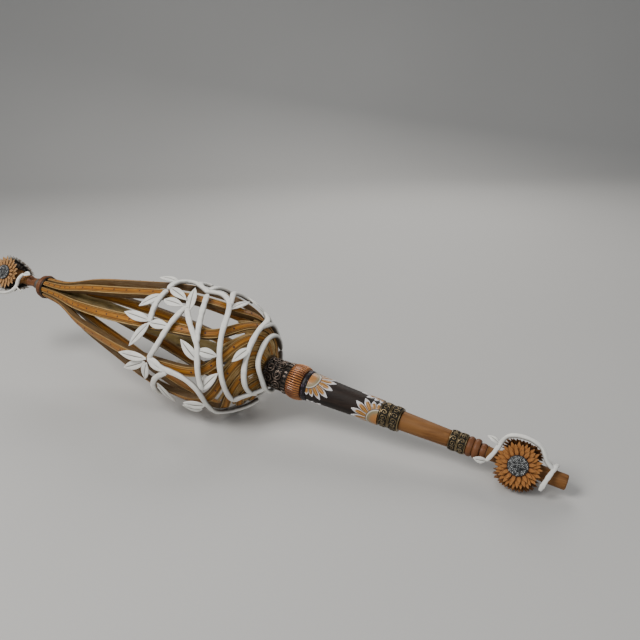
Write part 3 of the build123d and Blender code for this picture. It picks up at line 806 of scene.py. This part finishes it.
def calyxShell(centre, out):
    # a fluted cup: its radius swells from the foot to the rim, with shallow ridges round it
    rows = np.linspace(0, 1, 12)
    circle = np.linspace(0, 2 * np.pi, 72, endpoint=False)
    radius = bloom["calyxFoot"] + (bloom["calyxRim"] - bloom["calyxFoot"]) * rows ** 0.7
    radius = radius[:, None] * (1 + 0.05 * np.cos(circle * 12) * rows[:, None])
    high = bloom["calyxSeat"] + (bloom["layers"][0][0] - bloom["calyxSeat"]) * rows
    side = np.cross(out, axisDir)
    around = np.cos(circle)[:, None] * axisDir + np.sin(circle)[:, None] * side
    rings = centre + (radius[..., None] * around + high[:, None, None] * out) * mm
    level = np.broadcast_to(0.5 + 0.5 * np.cos(circle * 12), radius.shape)
    return closedTube(rings, np.stack([level, level, level], -1))


def seedRecipe(solid, marks):
    # painted shade in the gaps and down the beads' sides, grey grains, and a few bright silver specks kept to
    # the beads' tops as a painted highlight
    grain = solid.noise(900.0, 2.0)
    speck = solid.noise(520.0, 3.0, 0.7)
    # painted light: only the beads' tops may turn silver, and low marks go dark as painted shade
    top = marks.part(0).step(0.55, 1.0)
    tone = (top * speck.step(0.36, 0.62) + grain * 0.15).ramp((0.05, paint(0.004, 0.004, 0.005)),
                                                             (0.45, paint(0.055, 0.058, 0.062)),
                                                             (0.95, paint(0.50, 0.51, 0.50)))
    return {"Base Color": tone, "Roughness": grain * 0.3 + 0.28, "Height": grain, "Depth": 0.0002}


# the fifth colour of each finish is painted shade on the petals' backs near the foot
petalWarm = makeFinish("petalWarm", petalRecipe(
    paint(0.085, 0.020, 0.004), paint(0.38, 0.145, 0.030), paint(0.52, 0.25, 0.07), paint(0.55, 0.33, 0.14),
    paint(0.05, 0.015, 0.004), paint(0.22, 0.09, 0.025)), {"Specular IOR Level": 0.3})
petalPale = makeFinish("petalPale", petalRecipe(
    paint(0.10, 0.035, 0.010), paint(0.40, 0.20, 0.07), paint(0.55, 0.35, 0.15), paint(0.62, 0.46, 0.26),
    paint(0.035, 0.032, 0.028), paint(0.50, 0.49, 0.45)), {"Specular IOR Level": 0.3})
seedGrey = makeFinish("seedGrey", seedRecipe, {"Specular IOR Level": 0.6})
calyxLeather = makeFinish("calyxLeather", clayRecipe(paint(0.10, 0.085, 0.065), paint(0.06, 0.052, 0.045),
                                                     paint(0.025, 0.02, 0.017), paint(0.08, 0.06, 0.05)))
for endName, station in (("butt", bloom["inset"]), ("tip", staff["length"] - bloom["inset"])):
    centre = place(station, 0.0, 0.0)
    seeds, calyxes = [], []
    for index in range(bloom["count"]):
        out = outward(360.0 / bloom["count"] * index)
        petals = []
        for layer, (seat, inner, outer, count, width, curl) in enumerate(bloom["layers"]):
            for number in range(count):
                turn = 2 * np.pi * (number + 0.5 * layer) / count + randomDraws.uniform(-0.03, 0.03)
                petals.append(petal(centre, out, turn, seat, inner, outer * randomDraws.uniform(0.95, 1.0),
                                    width, curl))
        makePiece(f"{endName}Flower{index + 1}", petals, petalWarm if endName == "butt" else petalPale,
                  [f"{endName}_flower_{index + 1}"], 50)
        seeds += seedShells(centre, out, index)
        calyxes.append(calyxShell(centre, out))
    makePiece(f"{endName}Seeds", seeds, seedGrey, [f"{endName}_seed_heads"], 80)
    makePiece(f"{endName}Calyxes", calyxes, calyxLeather, [f"{endName}_calyxes"], 50)
print("flowers opened")

# turned and carved rings

def lathed(profile, around=96, rows=None, relief=None, depth=0.5):
    # the radius at each station, plus the relief's height at each station and angle
    profile = np.array(profile, float)
    if rows:
        steps = np.concatenate([[0], np.cumsum(np.linalg.norm(np.diff(profile, axis=0), axis=1))])
        travel = np.linspace(0, steps[-1], rows)
        profile = np.stack([np.interp(travel, steps, profile[:, k]) for k in (0, 1)], 1)
    station, radius = profile[:, :1], profile[:, 1:]
    angle = np.linspace(0, 360, around, endpoint=False)[None, :]
    share = (station - station.min()) / max(np.ptp(station), 1e-6)
    level = relief(share, angle / 360) if relief else 0.6 + 0 * share + 0 * angle
    carved = depth * (level - 1) if relief else 0 * level
    rings = place(station + 0 * angle, angle + 0 * station, radius + carved)
    marks = np.stack([level, share + 0 * angle, angle / 360 + 0 * share], -1)
    return closedTube(rings, marks)


def barrel(start, end, edge, crown, rows=40):
    # radius = edge + (crown - edge) x square root of a sine over the length, with closed ends
    share = np.linspace(0, 1, rows)
    radius = edge + (crown - edge) * np.sin(np.pi * share) ** 0.6
    skin = [(start + (end - start) * s, r) for s, r in zip(share, radius)]
    return [(start, staff["boreRadius"])] + skin + [(end, staff["boreRadius"])]


def scrolls(cellsRound, cellsAlong, turns=1.6, flip=True):
    # in each cell a spiral wire: height is a cosine of its angle plus its distance from the cell's middle
    def relief(share, turn):
        u, v = turn * cellsRound, share * cellsAlong
        cellU, cellV = np.floor(u), np.floor(v * 0.999)
        x, y = u - cellU - 0.5, v * 0.999 - cellV - 0.5
        hand = np.where((cellU + cellV) % 2 == 0, 1.0, -1.0) if flip else 1.0
        far = np.hypot(x, y) * 2
        wire = 0.5 + 0.5 * np.cos(2 * np.pi * (far * turns) - hand * np.arctan2(y, x))
        frameLine = np.clip((np.maximum(np.abs(x), np.abs(y)) - 0.44) * 18, 0, 1)
        level = np.where(far < 0.98, np.clip(wire * 1.5 - 0.25, 0, 1), 0.25)
        return np.clip(np.maximum(level, frameLine * 0.55), 0, 1)
    return relief


def flutes(count, rounds=1.0):
    # half-round flutes side by side
    def relief(share, turn):
        return np.abs(np.cos(np.pi * turn * count)) ** rounds + 0 * share
    return relief


def teeth(count):
    # alternate blocks and gaps, softened
    def relief(share, turn):
        block = 0.5 + 0.5 * np.tanh(5 * np.sin(2 * np.pi * turn * count))
        rim = np.clip(np.abs(share - 0.5) * 8 - 2.6, 0, 1)
        return np.clip(np.maximum(block, rim), 0, 1)
    return relief


def bandRelief(cells):
    # a raised rim at each edge and a row of scrolls between
    inner = scrolls(cells, 1, 1.3)

    def relief(share, turn):
        rim = np.clip((np.abs(share - 0.5) - 0.36) * 20, 0, 1)
        scrollRow = inner(np.clip((share - 0.14) / 0.72, 0, 0.999), turn)
        return np.where(np.abs(share - 0.5) > 0.36, rim, scrollRow * 0.95)
    return relief


dull = {"Specular IOR Level": 0.28}
cedar = makeFinish("cedar", woodRecipe(paint(0.055, 0.017, 0.004), paint(0.17, 0.068, 0.016),
                                       paint(0.29, 0.135, 0.040), 260.0), dull)
redWood = makeFinish("redWood", woodRecipe(paint(0.022, 0.006, 0.003), paint(0.115, 0.038, 0.012),
                                           paint(0.23, 0.095, 0.036), 330.0, 0.36), dull)
darkWood = makeFinish("plumWood", woodRecipe(paint(0.004, 0.003, 0.003), paint(0.012, 0.007, 0.005),
                                             paint(0.032, 0.018, 0.012), 240.0, 0.5), dull)
oliveWood = makeFinish("oliveWood", woodRecipe(paint(0.04, 0.026, 0.006), paint(0.13, 0.085, 0.022),
                                               paint(0.26, 0.19, 0.07), 150.0, 0.45, 0.0004, 0.25), dull)
bronze = makeFinish("oldBronze", antiqueRecipe(
    paint(0.005, 0.004, 0.0025), paint(0.045, 0.031, 0.016), paint(0.30, 0.225, 0.12)))
ironBronze = makeFinish("darkBronze", antiqueRecipe(
    paint(0.003, 0.0025, 0.002), paint(0.026, 0.018, 0.013), paint(0.17, 0.135, 0.11)))
wireBronze = makeFinish("wireBronze", antiqueRecipe(
    paint(0.006, 0.004, 0.003), paint(0.045, 0.030, 0.021), paint(0.20, 0.15, 0.12)))
copper = makeFinish("copper", antiqueRecipe(
    paint(0.018, 0.004, 0.001), paint(0.16, 0.040, 0.006), paint(0.52, 0.21, 0.055), 0.2),
    {"Coat Weight": 0.3})


def speckledRecipe(solid, marks):
    # nearly black with violet and grey specks
    cells = solid.node("ShaderNodeTexVoronoi", {}, {"Vector": solid, "Scale": 620.0})
    tint = solid.noise(300.0, 2.0)
    spots = 1.0 - cells.step(0.2, 0.36)
    colour = (spots * tint.step(0.4, 0.6)).mix(paint(0.008, 0.006, 0.008), paint(0.24, 0.17, 0.27))
    return {"Base Color": colour, "Roughness": tint * 0.3 + 0.3, "Height": cells, "Depth": 0.0002}


speckled = makeFinish("speckled", speckledRecipe, dull)


def pegShell(end, way):
    # the turned outline from the flat end, over the hub, to the waist
    outline = [(0, 0.01), (0, 6.2), (0.9, 7.1), (1.3, 7.3), (26, 7.3), (28, 7.4), (30, 8.6), (31, 9.0),
               (57, 9.0), (58.2, 8.7), (61, 7.4), (64, 6.3), (72.5, 6.3), (74.6, 7.0),
               (74.8, staff["boreRadius"])]
    return lathed([(end + way * reach, radius) for reach, radius in outline], 64, 90)


sleeveShape = {"start": 183.8, "end": 264.6, "buttRadius": 12.2, "topRadius": 14.8}
turnedRings = [     # name, CAD node, slot, finish, start, end, edge radius, crown radius, relief, its depth
    ("smallRing", "small_ring", "red_wood", redWood, 75.0, 81.2, 6.5, 7.6, None, 0),
    ("handleBead1", "handle_bead_1", "red_wood", redWood, 81.4, 87.6, 8.2, 9.9, None, 0),
    ("handleBead2", "handle_bead_2", "red_wood", redWood, 87.8, 94.0, 8.2, 9.9, None, 0),
    ("lowerBand1", "lower_band_1", "old_bronze", bronze, 94.2, 102.4, 9.6, 10.4, bandRelief(12), 0.7),
    ("lowerBand2", "lower_band_2", "old_bronze", bronze, 102.6, 110.8, 9.6, 10.4, bandRelief(12), 0.7),
    ("grip", "grip", "pale_wood", cedar, 111.0, 161.8, None, None, None, 0),
    ("upperBand1", "upper_band_1", "old_bronze", bronze, 162.0, 172.7, 11.8, 12.8, bandRelief(14), 0.8),
    ("upperBand2", "upper_band_2", "old_bronze", bronze, 172.9, 183.6, 11.8, 12.8, bandRelief(14), 0.8),
    ("sleeve", "sleeve", "dark_wood", darkWood, sleeveShape["start"], sleeveShape["end"], None, None,
     None, 0),
    ("speckledRing", "speckled_ring", "dark_wood", speckled, 264.8, 270.8, 15.2, 16.4, None, 0),
    ("flutedRing", "fluted_ring", "copper", copper, 271.0, 287.6, 17.2, 19.3, flutes(44), 0.8),
    ("toothedRing", "toothed_ring", "dark_bronze", ironBronze, 287.8, 293.0, 17.2, 17.7, teeth(22), 1.2),
    ("neckWasher", "neck_washer", "dark_bronze", ironBronze, 648.7, 650.3, 14.0, 14.4, None, 0),
    ("tipBead", "tip_bead", "vine_white", calyxLeather, 660.5, 668.3, 6.4, 7.9, None, 0),
]
tapers = {"grip": (8.5, 9.9), "sleeve": (sleeveShape["buttRadius"], sleeveShape["topRadius"])}
bore = staff["boreRadius"]
for name, node, slot, finish, start, end, edge, crown, relief, depth in turnedRings:
    if name in tapers:
        first, last = tapers[name]
        outline = [(start, bore), (start, first - 0.3), (start + 0.4, first), (end - 0.4, last),
                   (end, last - 0.3), (end, bore)]
        shell = lathed(outline, 96, 60)
    elif relief:
        shell = lathed(barrel(start, end, edge, crown, 60), 440, None, relief, depth)
    else:
        shell = lathed(barrel(start, end, edge, crown, 24))
    makePiece(name + "Skin", [shell], finish, [node], 45)

makePiece("buttPeg", [pegShell(0.0, 1)], cedar, ["butt_peg"])
makePiece("tipPeg", [pegShell(staff["length"], -1)], cedar, ["tip_peg"])
neckOutline = [(650.5, bore), (650.5, 13.4), (651.2, 14.6), (652.8, 15.2), (654.2, 14.4), (654.8, 13.6),
               (655.6, 14.2), (657.0, 14.0), (658.4, 12.6), (659.2, 11.2), (660.3, 10.8), (660.3, bore)]
makePiece("neckRing", [lathed(neckOutline, 120, 70)], redWood, ["neck_ring"])
spacerOutline = [(668.5, bore), (668.5, 6.4), (669.6, 7.0), (671.0, 6.2), (676.0, 5.7), (681.0, 6.2),
                 (682.0, 6.9), (682.9, 6.4), (682.9, bore)]
makePiece("tipSpacer", [lathed(spacerOutline, 80, 60)], redWood, ["tip_spacer"])

post = {
    "start": 317.7,
    "end": 647.8,
    "outline": [        # share of the length, radius
        (0.0, 8.0), (0.05, 8.0), (0.08, 10.2), (0.12, 8.4), (0.3, 8.4), (0.33, 10.6), (0.36, 10.6),
        (0.4, 8.6), (0.55, 9.6), (0.72, 10.4), (0.78, 8.2), (0.86, 8.2), (0.94, 6.6), (1.0, 6.6),
    ],
    "endRadius": 5.3,
    "grooves": 46,
    "grooveDepth": 0.35,
}
postStations = np.linspace(post["start"], post["end"], 240)
postShare = (postStations - post["start"]) / (post["end"] - post["start"])
postShape = np.array(post["outline"])
grooved = np.cos(postShare * 2 * np.pi * post["grooves"]) > 0.86
postRadius = np.interp(postShare, postShape[:, 0], postShape[:, 1]) - post["grooveDepth"] * grooved
postRadius[[0, -1]] = post["endRadius"]
makePiece("centrePost", [lathed(np.stack([postStations, postRadius], 1), 64)], oliveWood, ["centre_post"])

collar = {
    "start": 293.4,
    "end": 317.3,
    "endRadius": 5.3,
    "radius": 14.7,
    "waist": 1.3,
    "buttRim": 1.2,
    "topRim": 1.6,
    "wireRows": [(299.8, 5.6), (310.4, 5.4)],       # station and size of the scrolls in each row
    "wiresPerRow": 8,
    "rowTurn": 22,
    "wireTurns": 1.55,
}


def collarProfile():
    # a waisted cup between two rims
    share = np.linspace(0, 1, 80)
    radius = collar["radius"] - collar["waist"] * np.sin(np.pi * share) ** 1.2
    radius = radius + collar["buttRim"] * np.exp(-((share - 0.04) / 0.05) ** 2)
    radius = radius + collar["topRim"] * np.exp(-((share - 0.95) / 0.06) ** 2)
    station = collar["start"] + (collar["end"] - collar["start"]) * share
    return np.concatenate([[(collar["start"], collar["endRadius"])], np.stack([station, radius], 1),
                           [(collar["end"], collar["endRadius"])]])


collarShell = lathed(collarProfile(), 560, None, scrolls(16, 4, 1.2), 0.6)
makePiece("collarFiligree", [collarShell], ironBronze, ["collar"], 50)


def scrollWire(middleAngle, stationMiddle, size, hand):
    # a spiral wire on the collar: radius shrinks evenly as it turns one and a half times
    turn = np.linspace(0, collar["wireTurns"] * 2 * np.pi, 80)
    reach = size * (1 - 0.78 * turn / turn[-1])
    around = middleAngle + hand * np.degrees(reach * np.sin(turn) / 15.5)
    station = stationMiddle + reach * np.cos(turn)
    path = place(station, around, 15.6 - 0.25 * np.cos(turn * 0.5))
    return strand(path, outward(around), 0.6, 0.8, 10)


scrollShells = []
for row, (stationMiddle, size) in enumerate(collar["wireRows"]):
    for number in range(collar["wiresPerRow"]):
        around = 360 / collar["wiresPerRow"] * number + collar["rowTurn"] * row
        scrollShells.append(scrollWire(around, stationMiddle, size, 1 if number % 2 else -1))
makePiece("collarScrollWires", scrollShells, wireBronze, ["collar_scrolls"], 60)
print("handle turned")

# the half flowers painted in relief on the sleeve

reliefFlower = {
    "count": 2,
    "topTurn": 38.0,
    "buttTurn": -42.0,
    "petals": 10,
    "fan": 168.0,
    "disc": 12.0,
    "reach": 28.5,
    "room": 37.5,       # half way round the sleeve's thin end, shared by the flowers there
    "width": 5.6,
    "height": 0.75,
    "start": 183.9,
    "end": 264.5,
}


def onSleeve(origin, way, angle, forward, across, height):
    # distances on the sleeve's skin become a station and an angle
    station = origin + way * forward
    share = (station - sleeveShape["start"]) / (sleeveShape["end"] - sleeveShape["start"])
    radius = sleeveShape["buttRadius"]
    radius = radius + (sleeveShape["topRadius"] - sleeveShape["buttRadius"]) * np.clip(share, 0, 1)
    return place(station, angle + np.degrees(across / radius), radius + height)


def reliefPetal(origin, way, angle, turn, inner, outer, width, height, spread):
    # a long pointed petal that follows the sleeve, thickest along its middle
    travel = np.linspace(0, 1, 16)[:, None]
    ring = np.linspace(0, 2 * np.pi, 14, endpoint=False)[None, :]
    x, top = np.cos(ring), np.sin(ring)
    reach = inner + (outer - inner) * travel
    half = np.minimum(width / 2, reach * spread * 0.46)
    half = half * np.clip((1 - travel) * 3.0, 0.03, 1) ** 0.65
    forward = reach * np.cos(turn) - half * x * np.sin(turn)
    across = reach * np.sin(turn) + half * x * np.cos(turn)
    forward = np.maximum(forward, 0.15)
    rise = np.where(top > 0, height * np.abs(top) ** 0.5, -0.4)
    rings = onSleeve(origin, way, angle, forward, across, rise + 0 * travel)
    marks = np.stack([x + 0 * travel, travel + 0 * x, top + 0 * travel], -1)
    return closedTube(rings, marks)


def reliefDisc(origin, way, angle, size):
    # half a disc: rings of half circles, raised to a low crown
    rows = np.linspace(0.02, 1, 12)[:, None]
    ring = np.linspace(-np.pi / 2, np.pi / 2, 40)[None, :]
    forward = np.maximum(size * rows * np.cos(ring), 0.15)
    across = size * rows * np.sin(ring)
    top = onSleeve(origin, way, angle, forward, across, 1.0 - 0.25 * rows ** 6 + 0 * ring)
    under = onSleeve(origin, way, angle, forward, across, -0.4 + 0 * forward)
    rings = np.concatenate([top, under[:, ::-1]], 1)
    marks = np.full(rings.shape, 3.0)
    marks[..., 1] = rows
    return closedTube(rings, marks)


def sleeveFlowerRecipe(solid, marks):
    # golden middles with dark streaks, white edges and lavender shade; the disc is marked by x = 3
    across, travel = marks.part(0).size(), marks.part(1)
    speck = solid.noise(900.0, 4.0, 0.6)
    streak = marks.stretched((7.0, 1.0, 0.2)).noise(2.0, 3.0)
    gold = (streak * 0.7 + speck * 0.3).ramp(
        (0.35, paint(0.08, 0.03, 0.006)), (0.48, paint(0.42, 0.18, 0.022)), (0.7, paint(0.62, 0.34, 0.07)))
    white = speck.mix(paint(0.52, 0.50, 0.56), paint(0.80, 0.78, 0.72))
    rib = (across - 0.40).size().step(0.16, 0.06) * (1.0 - travel.step(0.5, 0.75)) * 0.95
    edge = (across + travel.step(0.35, 0.75) * 0.3).step(0.78, 0.9)
    petalTone = (edge + travel.step(0.62, 0.82)).clamp().mix(rib.mix(gold, paint(0.05, 0.02, 0.006)), white)
    middleTone = speck.mix(paint(0.33, 0.125, 0.022), paint(0.45, 0.20, 0.05))
    rimTone = speck.mix(paint(0.17, 0.13, 0.06), paint(0.29, 0.24, 0.13))
    discTone = (travel + (speck - 0.5) * 0.35).step(0.4, 0.8).mix(middleTone, rimTone)
    paleRim = travel.step(0.84, 0.87).mix(discTone, paint(0.50, 0.46, 0.38))
    disc = travel.step(0.93, 0.96).mix(paleRim, paint(0.03, 0.018, 0.03))
    return {"Base Color": across.step(1.5, 2.0).mix(petalTone, disc), "Roughness": speck * 0.3 + 0.35,
            "Height": streak * 0.5 + speck * 0.5, "Depth": 0.0002}


sleeveShells = []
for index in range(reliefFlower["count"]):
    for origin, way, turnStart in ((reliefFlower["end"], -1, reliefFlower["topTurn"]),
                                   (reliefFlower["start"], 1, reliefFlower["buttTurn"])):
        angle = 360.0 / reliefFlower["count"] * index + turnStart
        spread = np.radians(reliefFlower["fan"]) / (reliefFlower["petals"] - 1)
        for number in range(reliefFlower["petals"]):
            turn = np.radians(-reliefFlower["fan"] / 2) + spread * number
            room = reliefFlower["room"] / reliefFlower["count"] / max(abs(np.sin(turn)), 0.1)
            reach = min(reliefFlower["reach"], room)
            sleeveShells.append(reliefPetal(origin, way, angle, turn, reliefFlower["disc"] * 0.9, reach,
                                            reliefFlower["width"], reliefFlower["height"], spread))
        sleeveShells.append(reliefDisc(origin, way, angle, reliefFlower["disc"]))
flowerPaint = makeFinish("sleeveFlowerPaint", sleeveFlowerRecipe, {"Coat Weight": 0.2})
makePiece("sleeveFlowers", sleeveShells, flowerPaint, ["sleeve_flowers"], 50)
print("sleeve painted")

# gills that fan into the collar

gills = {"count": 54, "share": 0.36, "start": 0.885, "stagger": 0.02, "end": 0.998, "inset": 5.0,
         "innerRadius": 14.6, "lean": 40.0, "depth": 3.2}


def gillShell(index):
    # a blade under the ribs that follows their swirl; it takes a set share of the room round the cage
    share = np.linspace(gills["start"] - gills["stagger"] * (index % 3), gills["end"], 40)
    radius, station = cageSpot(share)
    angle = 360.0 / gills["count"] * index + swirlAt(station)
    radius = np.maximum(radius - gills["inset"], gills["innerRadius"])
    half = gills["share"] * 2 * np.pi * radius / gills["count"] * np.cos(np.radians(gills["lean"]))
    return strand(place(station, angle, radius), outward(angle), half, gills["depth"] / 2, 10)


makePiece("collarGills", [gillShell(i) for i in range(gills["count"])], edgeWood, (), 60)


def steelRecipe(solid, marks):
    # fine marks all over the rod
    lines = solid.noise(700.0, 3.0)
    return {"Roughness": lines * 0.25 + 0.3, "Height": lines, "Depth": 0.0001}


steel = makeFinish("brushedSteel", steelRecipe, {"Metallic": 1.0, "Base Color": paint(0.5, 0.5, 0.5)})
rodOutline = [(8.2, 0.01), (8.2, 4.2), (9.0, 5.0), (749.0, 5.0), (749.8, 4.2), (749.8, 0.01)]
makePiece("coreRod", [lathed(rodOutline, 48, 60)], steel, ["core_shaft"])

# floor, light and camera

def sweepRecipe(solid, marks):
    # a plain warm grey paper sweep with a faint tooth
    tooth = solid.noise(240.0, 4.0)
    cloud = solid.noise(1.4, 2.0)
    return {"Base Color": cloud.mix(paint(0.47, 0.465, 0.45), paint(0.53, 0.525, 0.51)),
            "Roughness": tooth * 0.15 + 0.75, "Height": tooth, "Depth": 0.00008}


studio = {
    "turn": 27.9,
    "tilt": 22.46,
    "roll": -1.33,
    "at": (0.4035, -0.5257, 0.3772),
    "lens": 36.0,
    "aim": (0, 0, 0.05),
    "lights": [         # name, place, size, power, colour
        ("keyLight", (-0.55, -0.9, 1.3), 0.7, 24.0, (1.0, 0.98, 0.95)),
        ("fillLight", (1.3, -0.6, 0.8), 1.0, 5.0, (0.95, 0.97, 1.0)),
        ("backLight", (-0.2, 1.2, 1.0), 0.8, 10.0, (1.0, 0.97, 0.93)),
    ],
    "sky": paint(0.85, 0.87, 0.90),
    "skyStrength": 0.3,
}
turn, tilt, roll = (math.radians(studio[key]) for key in ("turn", "tilt", "roll"))
forward = np.array([-math.sin(turn) * math.cos(tilt), math.cos(turn) * math.cos(tilt), -math.sin(tilt)])
level = np.array([math.cos(turn), math.sin(turn), 0.0])
lifted = np.cross(level, forward)
right = level * math.cos(roll) + lifted * math.sin(roll)
upward = np.cross(right, forward)

rowCount, columnCount = 60, 24
deep = np.linspace(-1.6, 3.4, rowCount)[:, None]
sideways = np.linspace(-3.0, 3.0, columnCount)[None, :]
bend = np.clip((deep - 1.4) / 1.0, 0, None)
rise = 0.9 * bend ** 2
groundDir = np.array([-math.sin(turn), math.cos(turn), 0.0])
sweepPoints = deep[..., None] * groundDir + sideways[..., None] * level
sweepPoints = sweepPoints + rise[..., None] * np.array([0, 0, 1.0])
sweepMesh = bpy.data.meshes.new("paperSweep")
sweepFaces = gridFaces(rowCount, columnCount, False)[:, ::-1]
sweepMesh.from_pydata(sweepPoints.reshape(-1, 3), [], sweepFaces.tolist())
sweepMesh.polygons.foreach_set("use_smooth", np.ones(len(sweepMesh.polygons), bool))
sweepMesh.materials.append(makeFinish("sweepPaper", sweepRecipe))
sweep = bpy.data.objects.new("paperSweep", sweepMesh)
bpy.context.scene.collection.objects.link(sweep)


def turnedTo(xDir, yDir, zDir, spot):
    # a matrix whose columns are the three directions and the place
    columns = [list(xDir) + [0], list(yDir) + [0], list(zDir) + [0], list(spot) + [1]]
    return Matrix(columns).transposed()


def areaLight(name, spot, size, power, colour):
    # a square soft box that points from its spot to the middle of the staff
    light = bpy.data.lights.new(name, "AREA")
    light.shape = "SQUARE"
    light.size = size
    light.energy = power
    light.color = colour
    lamp = bpy.data.objects.new(name, light)
    look = unit(np.array(studio["aim"], float) - np.array(spot, float))
    across = unit(np.cross(look, (0, 0, 1.0)))
    lamp.matrix_world = turnedTo(across, np.cross(across, look), -look, spot)
    bpy.context.scene.collection.objects.link(lamp)


for lightValues in studio["lights"]:
    areaLight(*lightValues)

world = bpy.data.worlds.new("studio")
world.use_nodes = True
background = next(n for n in world.node_tree.nodes if n.type == "BACKGROUND")
background.inputs["Color"].default_value = studio["sky"]
background.inputs["Strength"].default_value = studio["skyStrength"]
bpy.context.scene.world = world

cameraData = bpy.data.cameras.new("camera")
cameraData.lens = studio["lens"]
cameraData.sensor_width = 36.0
camera = bpy.data.objects.new("camera", cameraData)
camera.matrix_world = turnedTo(right, upward, -forward, studio["at"])
bpy.context.scene.collection.objects.link(camera)
bpy.context.scene.camera = camera
print("studio lit")
